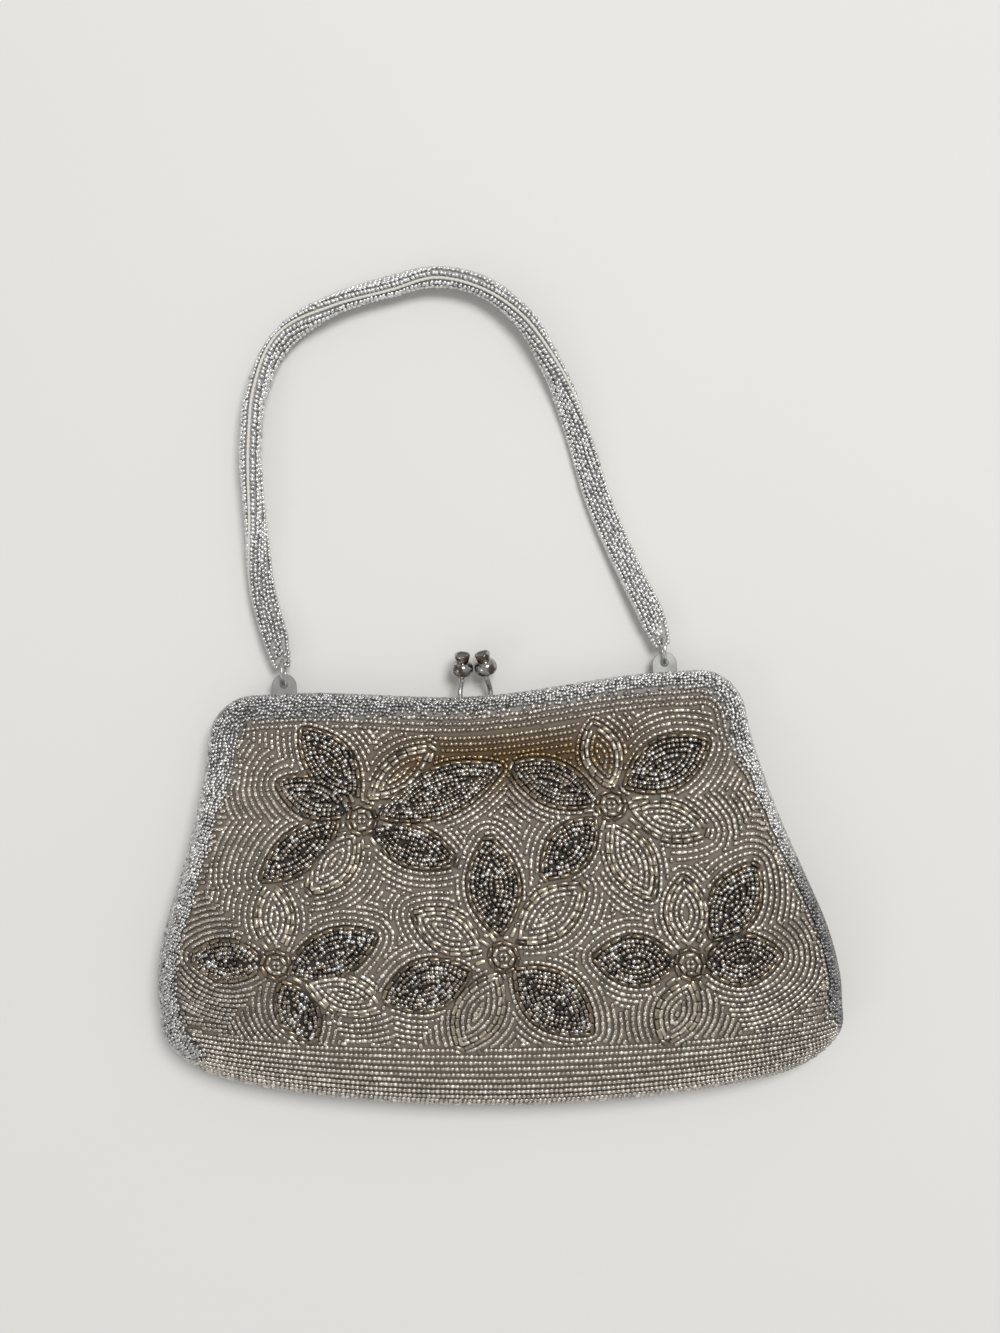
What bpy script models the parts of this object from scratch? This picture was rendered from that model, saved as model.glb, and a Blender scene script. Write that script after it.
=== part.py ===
# Beaded evening bag with a hidden kiss-lock frame, lying on its back with its strap laid out.
# Metres. +X runs across the bag, +Y towards the strap and +Z out of the front face.
# The origin is in the middle of the flat back, on the surface that the bag lies on.

import bmesh
import bpy
import numpy as np
from mathutils import Vector

# Driving sizes of the bag
BODY_HALF_WIDTH = 0.1076
TOP_Y = 0.0663
BOTTOM_Y = -0.0675
TOP_DIP = 0.0043
DIP_HALF_WIDTH = 0.060
BOTTOM_BOW = 0.0075
BOTTOM_BOW_HALF_WIDTH = 0.082
BOTTOM_BOW_END_Y = -0.027
TOP_CORNER_RADIUS = 0.013
BOTTOM_CORNER_WIDTH = 0.025
BOTTOM_CORNER_HEIGHT = 0.020
HALF_DEPTH = 0.0070
BELLY_HEIGHT = 0.0240
BELLY_RUN = 0.034
BELLY_FALL = 0.060
BELLY_FALL_EXPONENT = 2.6
LINING_START = 0.009
LINING_TAPER = 0.014
LINING_TAPER_END = 0.014
LINING_FRAME_GAP = 0.0005
LINING_NOTCH_DEPTH = 0.0040
LINING_NOTCH_FADE = 0.008
PANEL_WALL = 0.0012
LINING_WALL = 0.0005
CLEARANCE = 0.0003
SPLIT_CLEARANCE = 0.0006

# Half width of the side at heights from bottom to top, as shares of height and half width
SIDE_SHARES = (
    (0.0, 1.0),
    (0.20, 1.0),
    (0.303, 1.0),
    (0.407, 0.976),
    (0.508, 0.932),
    (0.62, 0.881),
    (0.729, 0.838),
    (0.826, 0.806),
    (0.93, 0.785),
    (1.0, 0.775),
)

# Hinge line of the two frame halves, and the bulge that slides inside the pouch
HINGE_Y = 0.022
HINGE_Z = HALF_DEPTH
VISOR_RADIUS = 0.0180
VISOR_EDGE_RADIUS = 0.0025
VISOR_SIDE_CLEARANCE = 0.0006
VISOR_LAP = 0.0016
HOLLOW_LENGTH = 0.024
EDGE_TURN_START = 0.004
EDGE_TURN_LENGTH = 0.016
RIM_DROP = 0.0066
RIM_SIDE_RISE = 0.0014
VISOR_MOST_ANGLE = np.radians(128)

# Roundness of the edges: a higher exponent is a tighter edge
FRAME_EDGE_EXPONENT = 36.0
VISOR_EDGE_EXPONENT = 9.0
POUCH_RIM_EXPONENT = 13.0
POUCH_EDGE_EXPONENT = 5.5
BACK_EDGE_EXPONENT = 18.0
BOTTOM_EDGE_EXPONENT = 12.0
EDGE_FLATNESS = 1.06
EDGE_REACH_SHARE = 0.12

# Frame channel, measured inwards from the bag's edge
FRAME_INSET = 0.0025
FRAME_WIDTH = 0.0051
FRAME_DEPTH = 0.0043
FRAME_WALL = 0.0008
FRAME_ROUND_INSET = 0.0032
FRAME_ROUND_DEPTH = 0.0026
ARM_END = 0.0115

# Hinge ears and rivets
EAR_INSET = 0.0042
EAR_WALL = 0.0010
EAR_RADIUS = 0.0028
EAR_HOLE_RADIUS = 0.0013
EAR_LAP = 0.0015
EAR_FOOT_RADIUS = 0.0012
RIVET_RADIUS = 0.0010
RIVET_HEAD_RADIUS = 0.0020
RIVET_HEAD_HEIGHT = 0.0006

# Handle tabs and jump rings
TAB_SHARE = 0.5623
TAB_X = BODY_HALF_WIDTH * TAB_SHARE
TAB_WIDTH = 0.0078
TAB_WALL = 0.0008
TAB_HOLE_Y = 0.0690
TAB_HOLE_RADIUS = 0.0012
TAB_TOP_MARGIN = 0.0034
TAB_FOOT = 0.0035
RING_RADIUS = 0.0039
RING_WIRE_RADIUS = 0.0005

# Kiss-lock knobs
KNOB_RADIUS = 0.0036
KNOB_Y = 0.0709
KNOB_CAP_RADIUS = 0.00255
KNOB_CAP_HEIGHT = 0.0041
KNOB_NECK_SHARE = 0.62
KNOB_FLAT_SHARE = 0.72
KNOB_GAP = 0.0003
STEM_RADIUS = 0.00085
STEM_FOOT_X = 0.0048
STEM_FOOT_DEPTH = 0.0024
STEM_HOLE_CLEARANCE = 0.0004

# Strap
STRAP_WIDTH = 0.0088
STRAP_THICKNESS = 0.0030
STRAP_TIP_WIDTH = 0.0062
STRAP_TIP_THICKNESS = 0.0014
STRAP_TIP_LENGTH = 0.012
STRAP_TIP_MARGIN = 0.0030
STRAP_TIP_ROUND_SHARE = 0.45
STRAP_DROP_LENGTH = 0.034
STRAP_HOLE_RADIUS = 0.0014
STRAP_HOLE_ANGLE = np.radians(19)
STRAP_REACH = 0.1285
STRAP_SECTION_EXPONENT = 0.8
SEAM_RADIUS = 0.0006

# Strap route: place as shares of TAB_X and STRAP_REACH from the tab holes, and the turn of
# its face as a share of a half turn. It lies flat at both tabs and stands on edge round the
# crown.
STRAP_SHARES = (
    (-1.000, 0.0389, 0.00),
    (-1.032, 0.115, 0.04),
    (-1.086, 0.225, 0.15),
    (-1.099, 0.410, 0.36),
    (-1.101, 0.608, 0.48),
    (-1.055, 0.729, 0.52),
    (-0.914, 0.849, 0.52),
    (-0.641, 0.928, 0.42),
    (-0.322, 0.969, 0.40),
    (-0.083, 0.985, 0.46),
    (0.149, 0.958, 0.50),
    (0.349, 0.880, 0.45),
    (0.489, 0.761, 0.33),
    (0.603, 0.610, 0.14),
    (0.709, 0.410, 0.00),
    (0.862, 0.215, -0.09),
    (0.950, 0.115, -0.05),
    (1.000, 0.0389, 0.00),
)

# Counts
COLUMN_SHARES = (0.0, 0.19, 0.37, 0.54, 0.69, 0.81, 0.90, 0.955, 0.985, 0.997, 1.0)
LINING_COLUMN_SHARES = (0.0, 0.27, 0.52, 0.74, 0.89, 0.97, 1.0)
EDGE_ROW_SHARES = (0.0, 0.03, 0.12, 0.28, 0.55, 1.0)
SPLINE_STEPS = 24
ROUND_SEGMENTS = 20
BACK_BODY_ROWS = 9
BACK_LINING_ROWS = 10
LID_ROWS = 9
LID_LINING_ROWS = 7
BULGE_ROWS = 4
BULGE_LINING_ROWS = 3
POUCH_ROWS = 11
POUCH_LINING_ROWS = 8
STRAP_STATIONS = 66
STRAP_SEAM_SKIP = 8
STRAP_SIDES = 10
STEM_SIDES = 8
SEAM_SIDES = 6
RING_STEPS = 24
RING_SIDES = 6

# Angles in radians: an edge sharper than its piece's angle is shown sharp
SHEET_SHARP_ANGLE = 0.7
CHANNEL_SHARP_ANGLE = 0.5
TURNED_SHARP_ANGLE = 0.9
TUBE_SHARP_ANGLE = 1.2
RING_SHARP_ANGLE = 3.0
KNOB_CAP_ANGLES = np.radians([-35, -10, 15, 40, 62])
KNOB_CAP_TOP_ANGLE = np.radians(80)

BODY_HEIGHT = TOP_Y - BOTTOM_Y
HINGE_ORIGIN = (0.0, HINGE_Y, HINGE_Z)
EDGE_REACH = BODY_HALF_WIDTH * EDGE_REACH_SHARE


def clear_scene():
    for item in list(bpy.data.objects):
        bpy.data.objects.remove(item, do_unlink=True)


def material(name, colour, metallic, roughness):
    made = bpy.data.materials.new(name)
    made.use_nodes = True
    shader = made.node_tree.nodes["Principled BSDF"]
    shader.inputs["Base Color"].default_value = (*colour, 1.0)
    shader.inputs["Metallic"].default_value = metallic
    shader.inputs["Roughness"].default_value = roughness
    made.diffuse_color = (*colour, 1.0)
    return made


def add_mesh(name, points, faces, look, sharp=SHEET_SHARP_ANGLE, origin=(0.0, 0.0, 0.0)):
    """A mesh object whose origin is at the given place, with its faces turned outwards."""
    mesh = bpy.data.meshes.new(name)
    moved = [Vector(point) - Vector(origin) for point in points]
    mesh.from_pydata(moved, [], faces)
    shape = bmesh.new()
    shape.from_mesh(mesh)
    bmesh.ops.recalc_face_normals(shape, faces=shape.faces)
    shape.to_mesh(mesh)
    shape.free()
    mesh.shade_smooth()
    mesh.set_sharp_from_angle(angle=sharp)
    mesh.materials.append(look)
    item = bpy.data.objects.new(name, mesh)
    item.location = origin
    bpy.context.collection.objects.link(item)
    return item


def hide_helper(item):
    item.hide_render = True
    item.display_type = "WIRE"
    return item


def boolean(target, helper, operation):
    change = target.modifiers.new(operation.title() + " " + helper.name, "BOOLEAN")
    change.operation = operation
    change.solver = "EXACT"
    change.object = hide_helper(helper)


def smooth_value(shares, at):
    """Smooth curve through pairs of shares, with slopes taken from the neighbouring pairs."""
    table = np.array(shares)
    slopes = np.gradient(table[:, 1], table[:, 0])
    found = np.clip(np.searchsorted(table[:, 0], at) - 1, 0, len(table) - 2)
    step = table[found + 1, 0] - table[found, 0]
    t = np.clip((at - table[found, 0]) / step, 0.0, 1.0)
    start = (2 * t**3 - 3 * t**2 + 1) * table[found, 1] + (t**3 - 2 * t**2 + t) * step * slopes[found]
    end = (3 * t**2 - 2 * t**3) * table[found + 1, 1] + (t**3 - t**2) * step * slopes[found + 1]
    return start + end


def smoothstep(t):
    t = np.clip(t, 0.0, 1.0)
    return t * t * (3 - 2 * t)


def corner_cut(distance, width, height):
    """How far an elliptic corner draws the side in, at a distance from the end of the side."""
    share = np.clip((height - distance) / height, 0.0, 1.0)
    return width * (1 - np.sqrt(1 - share**2))


def half_width(y, inset=0.0):
    """Half width of the bag's outline at row height y, or of the outline drawn in by the inset."""
    side = BODY_HALF_WIDTH * smooth_value(SIDE_SHARES, (y - BOTTOM_Y) / BODY_HEIGHT)
    top = corner_cut(TOP_Y - inset - y, TOP_CORNER_RADIUS - inset, TOP_CORNER_RADIUS - inset)
    bottom = corner_cut(y - BOTTOM_Y - inset, BOTTOM_CORNER_WIDTH, BOTTOM_CORNER_HEIGHT)
    return side - inset - top - bottom


def bend_rows(x, y):
    """Rows dip in the middle of the top edge and bow down at the bottom edge."""
    top_fade = smoothstep((y - HINGE_Y) / (TOP_Y - EDGE_REACH - HINGE_Y))
    dip = TOP_DIP * (1 - smoothstep(np.abs(x) / DIP_HALF_WIDTH))
    bottom_fade = np.clip((y - BOTTOM_BOW_END_Y) / (BOTTOM_Y - BOTTOM_BOW_END_Y), 0.0, 1.0)
    bow = BOTTOM_BOW * (np.abs(x) / BOTTOM_BOW_HALF_WIDTH) ** 2
    return y - dip * top_fade + bow * bottom_fade


def edge_rise(distance, reach, exponent):
    """Rounded edge: 0 at the edge itself, close to 1 further in."""
    share = np.clip(1 - distance / reach, 0.0, 1.0)
    return np.sqrt(1 - share**exponent)


def mirrored(shares):
    return np.array([-share for share in reversed(shares[1:])] + list(shares))


def shell(name, outer, inner, look):
    """Closed wall between two grids of points with the same rows and columns."""
    rows, columns = outer.shape[:2]
    count = rows * columns
    points = np.concatenate([outer.reshape(-1, 3), inner.reshape(-1, 3)])
    faces = []
    for row in range(rows - 1):
        for column in range(columns - 1):
            first = row * columns + column
            quad = (first, first + 1, first + columns + 1, first + columns)
            faces.append(quad)
            faces.append(tuple(index + count for index in reversed(quad)))
    top = [column for column in range(columns)]
    right = [row * columns + columns - 1 for row in range(rows)]
    bottom = [(rows - 1) * columns + column for column in reversed(range(columns))]
    left = [row * columns for row in reversed(range(rows))]
    loop = top[:-1] + right[:-1] + bottom[:-1] + left[:-1]
    for first, second in zip(loop, loop[1:] + loop[:1]):
        faces.append((second, first, first + count, second + count))
    return add_mesh(name, points.tolist(), faces, look)


def grid(rows, shares, place):
    """Points of a grid: place(y, shares) gives one row as x, y and z."""
    across = mirrored(shares)
    return np.array([np.stack(place(row, across), axis=-1) for row in rows])


# Back panel, a shallow tray under the whole bag


def back_rows(inset, body_rows):
    top = TOP_Y - inset - EDGE_REACH * np.array(EDGE_ROW_SHARES)
    bottom = BOTTOM_Y + inset + EDGE_REACH * np.array(EDGE_ROW_SHARES)
    middle = np.linspace(top[-1], bottom[-1], body_rows)[1:-1]
    return np.concatenate([top, middle, bottom[::-1]])


def back_exponent(y):
    """The tray's edge is tight round the frame and softer round the pouch."""
    at_frame = smoothstep((y - HINGE_Y + LINING_TAPER) / LINING_TAPER)
    return BACK_EDGE_EXPONENT + (FRAME_EDGE_EXPONENT - BACK_EDGE_EXPONENT) * at_frame


def back_place(inset, depth):
    """One row of the tray, drawn in by the inset and of the given depth under the split."""

    def place(y, across):
        width = half_width(y, inset)
        x = width * across
        side = edge_rise(width - np.abs(x), width, back_exponent(y))
        top = edge_rise(TOP_Y - inset - y, BODY_HALF_WIDTH, FRAME_EDGE_EXPONENT)
        bottom = edge_rise(y - BOTTOM_Y - inset, BODY_HALF_WIDTH, BOTTOM_EDGE_EXPONENT)
        drop = np.minimum(depth * side * top * bottom * EDGE_FLATNESS, depth)
        return x, bend_rows(x, y), HINGE_Z - SPLIT_CLEARANCE / 2 - drop

    return place


def make_back_panel(look):
    depth = HALF_DEPTH - SPLIT_CLEARANCE / 2
    outer = grid(back_rows(0.0, BACK_BODY_ROWS), COLUMN_SHARES, back_place(0.0, depth))
    inner_rows = back_rows(PANEL_WALL, BACK_BODY_ROWS)
    inner = grid(inner_rows, COLUMN_SHARES, back_place(PANEL_WALL, depth - PANEL_WALL))
    return shell("back_panel", outer, inner, look)


# Lining of the tray


def ear_x():
    """The back frame's ears stand in the channel at the end of the arms."""
    return half_width(HINGE_Y + ARM_END) - EAR_INSET


def lining_insets():
    """How far the linings stay in from the outline: beside the channel, and at the rivet heads."""
    channel = FRAME_INSET + FRAME_WIDTH + LINING_FRAME_GAP
    rivet_head = ear_x() - EAR_WALL - RIVET_HEAD_HEIGHT - 3 * CLEARANCE
    return channel, half_width(HINGE_Y) - rivet_head


def make_back_lining(look):
    deep = PANEL_WALL + CLEARANCE
    outer = lining_grid(0.0, deep)
    inner = lining_grid(LINING_WALL, deep + LINING_WALL)
    return shell("back_lining", outer, inner, look)


def lining_grid(extra, inset):
    """The back lining follows the tray, and stops short of the frame's channel at the top."""
    channel, hinge = lining_insets()
    frame_inset = channel + extra
    at_rivet = half_width(HINGE_Y) - hinge - extra
    body_inset = PANEL_WALL + LINING_FRAME_GAP + extra
    depth = HALF_DEPTH - SPLIT_CLEARANCE / 2 - inset

    def place(y, across):
        at_frame = smoothstep((y - HINGE_Y + LINING_TAPER + LINING_TAPER_END) / LINING_TAPER)
        beside_frame = min(half_width(y, frame_inset), at_rivet)
        in_body = half_width(y, body_inset)
        width = in_body + (beside_frame - in_body) * at_frame
        x = width * across
        side = edge_rise(width - np.abs(x), width, back_exponent(y))
        top = edge_rise(TOP_Y - frame_inset - y, BODY_HALF_WIDTH, FRAME_EDGE_EXPONENT)
        bottom = edge_rise(y - BOTTOM_Y - body_inset, BODY_HALF_WIDTH, BOTTOM_EDGE_EXPONENT)
        above = 1 - smoothstep((y - HINGE_Y - EAR_RADIUS) / LINING_NOTCH_FADE)
        below = 1 - smoothstep((HINGE_Y - VISOR_RADIUS - y) / LINING_NOTCH_FADE)
        notch = LINING_NOTCH_DEPTH * above * below
        drop = np.minimum(notch + (depth - notch) * side * top * bottom * EDGE_FLATNESS, depth)
        return x, bend_rows(x, y), HINGE_Z - SPLIT_CLEARANCE / 2 - drop

    top = TOP_Y - frame_inset - EDGE_REACH * np.array(EDGE_ROW_SHARES)
    bottom = BOTTOM_Y + body_inset + EDGE_REACH * np.array(EDGE_ROW_SHARES)
    middle = np.linspace(top[-1], bottom[-1], BACK_LINING_ROWS)[1:-1]
    return grid(np.concatenate([top, middle, bottom[::-1]]), LINING_COLUMN_SHARES, place)


# Front half of the covering: a lid over the frame that ends in a bulge round the hinge line


def visor_half_width():
    return half_width(HINGE_Y) - PANEL_WALL - VISOR_SIDE_CLEARANCE


def lid_height(x, width, along, inset):
    """Height over the split, at a distance along from the hinge line towards the top edge."""
    hollow = 1 - smoothstep(along / HOLLOW_LENGTH)
    tight = smoothstep((along - EDGE_TURN_START) / EDGE_TURN_LENGTH)
    exponent = VISOR_EDGE_EXPONENT + (FRAME_EDGE_EXPONENT - VISOR_EDGE_EXPONENT) * tight
    base = SPLIT_CLEARANCE / 2
    base += (VISOR_EDGE_RADIUS - base) * (1 - smoothstep(along / ARM_END))
    crown = HALF_DEPTH - inset + (VISOR_RADIUS - HALF_DEPTH) * hollow
    side = edge_rise(width - np.abs(x), width, exponent)
    return base, (crown - base) * side


def lid_place(side_inset, inset, hinge_inset):
    """One row of the lid in front of the hinge line."""

    def place(y, across):
        along = y - HINGE_Y
        at_hinge = 1 - smoothstep(along / ARM_END)
        tuck = (half_width(HINGE_Y) - visor_half_width() + hinge_inset - side_inset) * at_hinge
        width = half_width(y, side_inset) - tuck
        x = width * across
        base, rise = lid_height(x, width, along, inset)
        top = edge_rise(TOP_Y - side_inset - y, BODY_HALF_WIDTH, FRAME_EDGE_EXPONENT)
        return x, bend_rows(x, y), HINGE_Z + base + rise * top

    return place


def visor_place(side_inset, inset):
    """One row of the bulge: the row is a share of the turn from over the hinge line to its end."""

    def place(turn_share, across):
        width = visor_half_width()
        side = edge_rise(width * (1 - np.abs(across)), width, VISOR_EDGE_EXPONENT)
        outer = VISOR_EDGE_RADIUS + (VISOR_RADIUS - VISOR_EDGE_RADIUS) * side
        drop = RIM_DROP + VISOR_LAP
        last = np.arccos(-np.clip(drop / outer, 0.0, -np.cos(VISOR_MOST_ANGLE)))
        angle = np.pi / 2 + (last - np.pi / 2) * turn_share
        radius = outer - inset * side
        x = (width - side_inset) * across
        return x, HINGE_Y + radius * np.cos(angle), HINGE_Z + radius * np.sin(angle)

    return place


def lid_grid(side_inset, inset, shares, body_rows, turn_rows, hinge_inset):
    top = TOP_Y - side_inset - EDGE_REACH * np.array(EDGE_ROW_SHARES)
    rows = np.concatenate([top, np.linspace(top[-1], HINGE_Y, body_rows)[1:-1]])
    front = grid(rows, shares, lid_place(side_inset, inset, hinge_inset))
    bulge = grid(np.linspace(0.0, 1.0, turn_rows), shares, visor_place(hinge_inset, inset))
    return np.concatenate([front, bulge])


def make_front_panel_upper(look):
    outer = lid_grid(0.0, 0.0, COLUMN_SHARES, LID_ROWS, BULGE_ROWS, 0.0)
    inner = lid_grid(PANEL_WALL, PANEL_WALL, COLUMN_SHARES, LID_ROWS, BULGE_ROWS, PANEL_WALL)
    return shell("front_panel_upper", outer, inner, look)


def make_front_lining_upper(look):
    side, hinge = lining_insets()
    hinge -= half_width(HINGE_Y) - visor_half_width()
    deep = PANEL_WALL + CLEARANCE
    thin = LINING_WALL
    counts = (LINING_COLUMN_SHARES, LID_LINING_ROWS, BULGE_LINING_ROWS)
    outer = lid_grid(side, deep, *counts, hinge)
    inner = lid_grid(side + thin, deep + thin, *counts, hinge + thin)
    return shell("front_lining_upper", outer, inner, look)


# Pouch: the rounded front of the bag below the hinge line


def pouch_place(inset):
    """One row of the pouch, from its rim behind the bulge down to the bottom seam."""

    def place(y, across):
        width = half_width(y, inset)
        x = width * across
        rim_y = HINGE_Y - RIM_DROP
        rim_radius = VISOR_RADIUS + VISOR_SIDE_CLEARANCE + PANEL_WALL
        rim_height = np.sqrt(rim_radius**2 - RIM_DROP**2)
        swell = smoothstep((rim_y - y) / BELLY_RUN)
        crown = rim_height + (BELLY_HEIGHT - rim_height) * swell - inset
        exponent = POUCH_RIM_EXPONENT + (POUCH_EDGE_EXPONENT - POUCH_RIM_EXPONENT) * swell
        side = edge_rise(width - np.abs(x), width, exponent)
        bottom = edge_rise(y - BOTTOM_Y - inset, BELLY_FALL, BELLY_FALL_EXPONENT)
        base = SPLIT_CLEARANCE / 2
        lift = RIM_SIDE_RISE * np.abs(across) ** 4 * (1 - swell)
        return x, bend_rows(x, y) + lift, HINGE_Z + base + (crown - base) * side * bottom

    return place


def pouch_rows(inset, start, body_rows):
    bottom = BOTTOM_Y + inset + EDGE_REACH * np.array(EDGE_ROW_SHARES)
    middle = np.linspace(HINGE_Y - RIM_DROP - start, bottom[-1], body_rows)[:-1]
    return np.concatenate([middle, bottom[::-1]])


def make_front_panel_lower(look):
    outer = grid(pouch_rows(0.0, 0.0, POUCH_ROWS), COLUMN_SHARES, pouch_place(0.0))
    inner = grid(pouch_rows(PANEL_WALL, 0.0, POUCH_ROWS), COLUMN_SHARES, pouch_place(PANEL_WALL))
    return shell("front_panel_lower", outer, inner, look)


def make_front_lining_lower(look):
    near = PANEL_WALL + LINING_FRAME_GAP
    far = near + LINING_WALL
    outer_rows = pouch_rows(near, LINING_START, POUCH_LINING_ROWS)
    inner_rows = pouch_rows(far, LINING_START, POUCH_LINING_ROWS)
    outer = grid(outer_rows, LINING_COLUMN_SHARES, pouch_place(near))
    inner = grid(inner_rows, LINING_COLUMN_SHARES, pouch_place(far))
    return shell("front_lining_lower", outer, inner, look)


# Frame halves: a channel round the top of each half, with an ear at each end


def frame_path():
    """Outline points from the right arm's end over the top to the left arm's end, and normals."""
    corner_y = TOP_Y - TOP_CORNER_RADIUS
    arm = np.linspace(HINGE_Y + ARM_END, corner_y, 6)
    turn = corner_y + TOP_CORNER_RADIUS * np.sin(np.radians([15, 30, 45, 60, 75]))
    side = np.array([(half_width(y), y) for y in np.concatenate([arm, turn])])
    across = np.linspace(half_width(TOP_Y), 0.0, 9)
    top = np.array([(x, TOP_Y) for x in across])
    right = np.concatenate([side, top])
    path = np.concatenate([right, (right * [-1, 1])[-2::-1]])
    path[:, 1] = bend_rows(path[:, 0], path[:, 1])
    tangent = np.gradient(path, axis=0)
    tangent /= np.linalg.norm(tangent, axis=1)[:, None]
    inward = np.stack([-tangent[:, 1], tangent[:, 0]], axis=1)
    return path, inward


def frame_section():
    """Channel section as inset from the edge and distance from the split, with a rounded spine."""
    low = SPLIT_CLEARANCE / 2
    high = low + FRAME_DEPTH
    inner = FRAME_INSET + FRAME_WIDTH
    centre = (FRAME_INSET + FRAME_ROUND_INSET, high - FRAME_ROUND_DEPTH)
    angles = np.radians([0, 30, 60, 90])
    points = [(inner, low), (FRAME_INSET, low)]
    for angle in angles:
        points.append(
            (centre[0] - FRAME_ROUND_INSET * np.cos(angle), centre[1] + FRAME_ROUND_DEPTH * np.sin(angle))
        )
    points += [(inner, high), (inner, high - FRAME_WALL)]
    for angle in angles[::-1]:
        across = (FRAME_ROUND_INSET - FRAME_WALL) * np.cos(angle)
        up = (FRAME_ROUND_DEPTH - FRAME_WALL) * np.sin(angle)
        points.append((centre[0] - across, centre[1] + up))
    points += [(FRAME_INSET + FRAME_WALL, low + FRAME_WALL), (inner, low + FRAME_WALL)]
    return points


def swept_faces(stations, sides):
    faces = [tuple(range(sides)), tuple(range((stations - 1) * sides, stations * sides))]
    for station in range(stations - 1):
        for side in range(sides):
            first = station * sides + side
            second = station * sides + (side + 1) % sides
            faces.append((first, second, second + sides, first + sides))
    return faces


def disc(centre, radius, start, end, steps):
    angles = np.linspace(start, end, steps)
    return [(centre[0] + radius * np.cos(a), centre[1] + radius * np.sin(a)) for a in angles]


def make_ear(name, side, inner_x, way, look):
    """Flat ear round the hinge line that reaches up into the end of the frame's arm."""
    foot = (HINGE_Y + ARM_END + EAR_LAP, HINGE_Z + way * (SPLIT_CLEARANCE / 2 + FRAME_DEPTH / 2))
    lean = np.arctan2(foot[1] - HINGE_Z, foot[0] - HINGE_Y)
    outline = disc((HINGE_Y, HINGE_Z), EAR_RADIUS, lean + np.pi / 2, lean + 3 * np.pi / 2, 13)
    outline += disc(foot, EAR_FOOT_RADIUS, lean - np.pi / 2, lean + np.pi / 2, 5)
    points = []
    for x in (inner_x, inner_x + EAR_WALL):
        points += [(side * x, y, z) for y, z in outline]
    return add_mesh(name, points, swept_faces(2, len(outline)), look)


def cylinder(name, start, end, radius, look, segments=ROUND_SEGMENTS):
    """Round bar between two points."""
    start, end = Vector(start), Vector(end)
    turn = (end - start).to_track_quat("Z", "Y").to_matrix()
    points = []
    for base in (start, end):
        for step in range(segments):
            angle = 2 * np.pi * step / segments
            points.append(base + turn @ Vector((radius * np.cos(angle), radius * np.sin(angle), 0)))
    return add_mesh(name, points, swept_faces(2, segments), look)


def make_frame(name, way, ear_inner_x, look):
    """One frame half: way is 1 for the front half and -1 for the back half."""
    path, inward = frame_path()
    section = frame_section()
    points = []
    for place, normal in zip(path, inward):
        for inset, depth in section:
            x, y = place + normal * inset
            points.append((x, y, HINGE_Z + way * depth))
    frame = add_mesh(name, points, swept_faces(len(path), len(section)), look, CHANNEL_SHARP_ANGLE, HINGE_ORIGIN)
    for side in (-1, 1):
        boolean(frame, make_ear(f"{name}_ear_{side}", side, ear_inner_x, way, look), "UNION")
    bore = cylinder(
        name + "_bore", (-BODY_HALF_WIDTH, HINGE_Y, HINGE_Z), (BODY_HALF_WIDTH, HINGE_Y, HINGE_Z),
        EAR_HOLE_RADIUS, look,
    )
    boolean(frame, bore, "DIFFERENCE")
    return frame


def turned(name, profile, axis_start, axis_way, look, origin=(0.0, 0.0, 0.0)):
    """Solid of revolution: profile pairs are distance along the axis and radius."""
    turn = Vector(axis_way).to_track_quat("Z", "Y").to_matrix()
    points = []
    for along, radius in profile:
        for step in range(ROUND_SEGMENTS):
            angle = 2 * np.pi * step / ROUND_SEGMENTS
            spot = Vector((radius * np.cos(angle), radius * np.sin(angle), along))
            points.append(Vector(axis_start) + turn @ spot)
    return add_mesh(name, points, swept_faces(len(profile), ROUND_SEGMENTS), look, TURNED_SHARP_ANGLE, origin)


def make_rivet(name, side, look):
    """Hinge rivet with a head against each ear."""
    inner = ear_x() - CLEARANCE - EAR_WALL - CLEARANCE
    outer = ear_x() + EAR_WALL + CLEARANCE
    profile = (
        (0.0, RIVET_HEAD_RADIUS),
        (RIVET_HEAD_HEIGHT, RIVET_HEAD_RADIUS),
        (RIVET_HEAD_HEIGHT, RIVET_RADIUS),
        (RIVET_HEAD_HEIGHT + outer - inner, RIVET_RADIUS),
        (RIVET_HEAD_HEIGHT + outer - inner, RIVET_HEAD_RADIUS),
        (2 * RIVET_HEAD_HEIGHT + outer - inner, RIVET_HEAD_RADIUS),
    )
    start = (side * (inner - RIVET_HEAD_HEIGHT), HINGE_Y, HINGE_Z)
    return turned(name, profile, start, (side, 0, 0), look)


# Handle tabs, rooted in the back half's channel, and the slots that they leave through


def tab_z():
    return HINGE_Z - SPLIT_CLEARANCE / 2 - FRAME_WALL - CLEARANCE - TAB_WALL / 2


def tab_foot_y():
    return TOP_Y - FRAME_INSET - FRAME_WALL - TAB_FOOT


def make_tab(name, side, look):
    half = TAB_WIDTH / 2
    centre_y = TAB_HOLE_Y + TAB_TOP_MARGIN - half
    outline = disc((side * TAB_X, centre_y), half, 0.0, np.pi, 13)
    outline += [(side * TAB_X - half, tab_foot_y()), (side * TAB_X + half, tab_foot_y())]
    points = []
    for z in (tab_z() - TAB_WALL / 2, tab_z() + TAB_WALL / 2):
        points += [(x, y, z) for x, y in outline]
    tab = add_mesh(name, points, swept_faces(2, len(outline)), look)
    spot = Vector((side * TAB_X, TAB_HOLE_Y, tab_z()))
    reach = Vector((0, 0, TAB_WALL))
    boolean(tab, cylinder(name + "_hole", spot - reach, spot + reach, TAB_HOLE_RADIUS, look), "DIFFERENCE")
    return tab


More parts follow.
